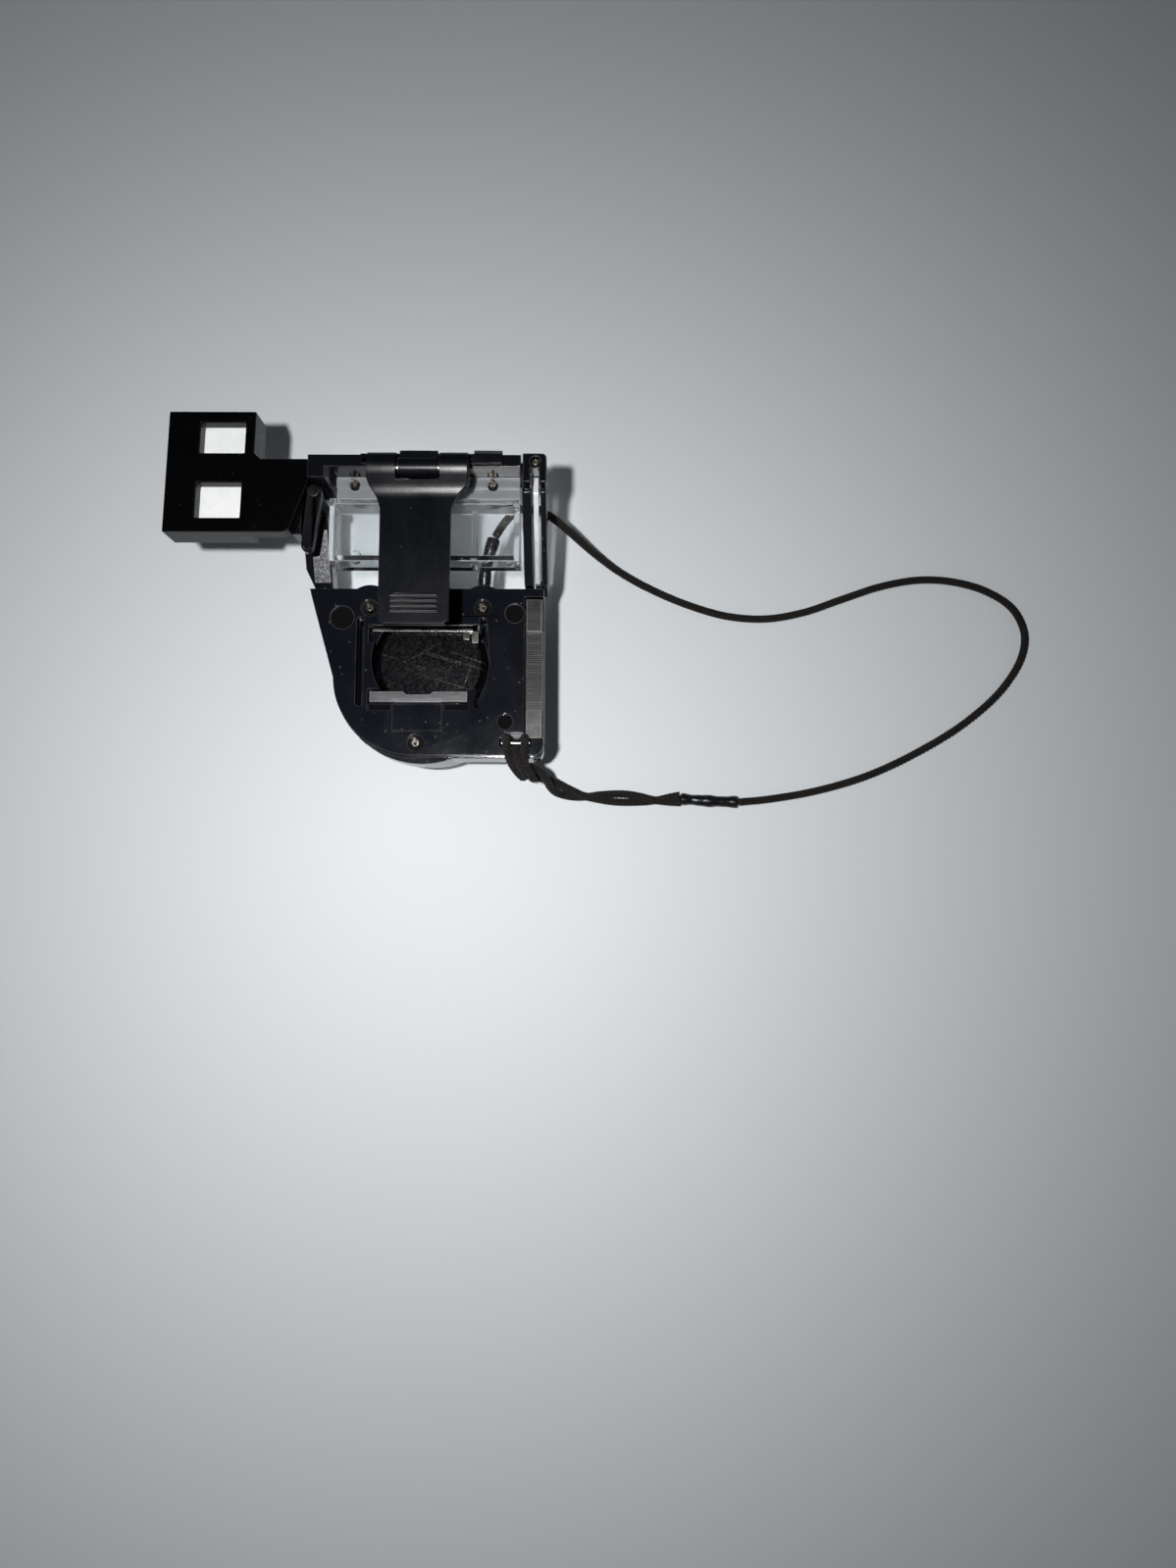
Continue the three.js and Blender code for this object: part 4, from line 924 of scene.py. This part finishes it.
# ---- Clear tray ----
# A clear moulded tray across the frame's opening, open towards the strap, with a rib and two studs
# inside. Its rims are a little frosted and catch the light.
def clear_plastic():
    """Clear plastic, faintly scratched, hazy on its rims and flange, that lets the lamp's light through."""
    material, tree, shader = principled("clear_plastic")
    smears = pattern(tree, "Noise", 210, Detail=5, Roughness=0.65)
    rim = on_edges(tree, between(tree, smears, 0.35, 1.0))
    flange = times(tree, share_towards(tree, 29.4, 29.7, low=0.0, high=0.6), between(tree, smears, 0.7, 1.0))
    either = tree.nodes.new("ShaderNodeMath")
    either.operation = "MAXIMUM"
    tree.links.new(rim, either.inputs[0])
    tree.links.new(flange, either.inputs[1])
    haze = either.outputs["Value"]
    tint = shades(tree, haze, (0.0, (0.93, 0.945, 0.95)), (0.5, (0.4, 0.41, 0.42)), (1.0, (0.42, 0.43, 0.44)))
    coat(tree, shader, tint, between(tree, haze, 0.02, 0.3, start=0.0, end=0.5), IOR=1.49)
    tree.links.new(between(tree, haze, 1.0, 0.45), shader.inputs["Transmission Weight"])
    scratched(tree, shader, 240, 0.033, turn=0.9, soft_end=0.67, strength=0.3)
    passing = tree.nodes.new("ShaderNodeBsdfTransparent")
    passing.inputs["Color"].default_value = (0.8, 0.82, 0.83, 1)
    choice = tree.nodes.new("ShaderNodeMixShader")
    tree.links.new(tree.nodes.new("ShaderNodeLightPath").outputs["Is Shadow Ray"], choice.inputs["Fac"])
    tree.links.new(shader.outputs["BSDF"], choice.inputs[1])
    tree.links.new(passing.outputs["BSDF"], choice.inputs[2])
    tree.links.new(choice.outputs["Shader"], tree.nodes["Material Output"].inputs["Surface"])
    return material


dressed("tray", "clear_tray", clear_plastic(), "clear_plastic", width=0.14)

# ---- Belt clip and its hinge ----
# A sprung strap of black-painted steel sheet, rolled into two knuckles round a steel pin. The barrel
# between them is part of a bracket whose foot lies on the frame's top bar.
def painted_steel():
    """Satin black paint over steel: faint orange peel, finer sheen where hands rub, bare bright edges."""
    material, tree, shader = principled("painted_steel")
    peel = pattern(tree, "Noise", 1500, Detail=3)
    rubs = pattern(tree, "Noise", 150, stretch=(1, 2.5, 1), Detail=5, Roughness=0.6)
    chips = pattern(tree, "Noise", 900, Detail=5)
    colour = shades(tree, peel, (0.3, (0.0012, 0.0015, 0.0028)), (0.72, (0.0034, 0.004, 0.0066)))
    lint = between(tree, pattern(tree, "Voronoi", 430), 0.12, 0.0, start=0.05, end=0.1)
    colour = over(tree, colour, (0.14, 0.14, 0.15), lint)
    bare = on_edges(tree, between(tree, chips, 0.0, 0.22, start=0.56, end=0.75))
    colour = over(tree, colour, (0.12, 0.118, 0.115), bare)
    coat(tree, shader, colour, between(tree, rubs, 0.24, 0.34, start=0.3, end=0.7), Specular_IOR_Level=0.3)
    tree.links.new(bare, shader.inputs["Metallic"])
    raised(tree, shader, peel, 0.02 * mm, 0.5)
    return material


clip_paint = painted_steel()
dressed("strap", "belt_clip", clip_paint, "clip_metal", body="clip", width=0.13)
lug_start = at(0, 34.62, 0).y


def bare_lugs(work):
    """The foot's lugs, past its own edge, are left unpainted."""
    whole = work.verts[:] + work.edges[:] + work.faces[:]
    bmesh.ops.bisect_plane(work, geom=whole, plane_co=(0, lug_start, 0), plane_no=(0, 1, 0))
    for face in work.faces:
        if face.calc_center_median().y > lug_start:
            face.material_index = 1


dressed("bracket", "clip_bracket", clip_paint, "clip_metal", rework=bare_lugs, extra=(bright_steel,))
dressed("hinge_pin", "clip_pin", bright_steel, "steel", body="clip", width=0.15)
dressed("leaf_spring", "clip_spring", contact_steel, "steel", width=0.05)

# ---- Side wing ----
# A deep black block on a thinner arm, with two windows through it. Each window is closed by a milky
# panel set well below the face.
wing_dark = moulded_black(
    "wing_dark", (0.0005, 0.0005, 0.0008), (0.0014, 0.0014, 0.0018),
    sheen=(0.22, 0.32), grain=0.004, dust=0.05, edge_wear_and_highlight=(0.008, 0.008, 0.009), shine=0.12,
)
dressed("wing", "side_wing", wing_dark, "wing_black", width=0.2)
window_white = milky_plastic("window_white", (0.84, 0.86, 0.86), (0.93, 0.94, 0.93))
for place in ("upper", "lower"):
    dressed("window_" + place, "wing_window_" + place, window_white, "window_white")

# ---- Latch lever ----
# A slanting black finger, hollowed along its top, that turns on a dark pin at the frame's corner. A
# speckled metal tongue lies on the frame beside its tip.
def hollow_top(work, wall=0.35 * mm, depth=0.3 * mm):
    """Sinks a channel into the finger's upper face, inside a thin wall."""
    top = max((f for f in work.faces if f.normal.z > 0.6), key=lambda f: f.calc_area())
    bmesh.ops.inset_region(work, faces=[top], thickness=wall, depth=-depth)


dressed("finger", "latch_lever", frame_satin, "case_black", body="lever", width=0.08, rework=hollow_top)
dark_steel = plain_steel("dark_steel", (0.012, 0.012, 0.013), (0.035, 0.034, 0.033), (0.3, 0.5))
dressed("finger_pin", "lever_pin", dark_steel, "steel")


def speckled_metal():
    """Cast metal under thinning paint, flecked light and dark."""
    material, tree, shader = principled("speckled_metal")
    flecks = pattern(tree, "Noise", 2100, Detail=4, Roughness=0.7)
    clouds = pattern(tree, "Noise", 500, Detail=4)
    colour = shades(
        tree, flecks, (0.36, (0.03, 0.03, 0.033)), (0.5, (0.1, 0.1, 0.104)), (0.66, (0.28, 0.28, 0.29)),
    )
    colour = over(tree, colour, (0.55, 0.55, 0.56), on_edges(tree, between(tree, clouds, 0.2, 0.9)))
    coat(tree, shader, colour, between(tree, clouds, 0.35, 0.6), Metallic=0.6)
    raised(tree, shader, flecks, 0.02 * mm, 0.7)
    return material


dressed("metal_tongue", "latch_plate", speckled_metal(), "steel", width=0.06)
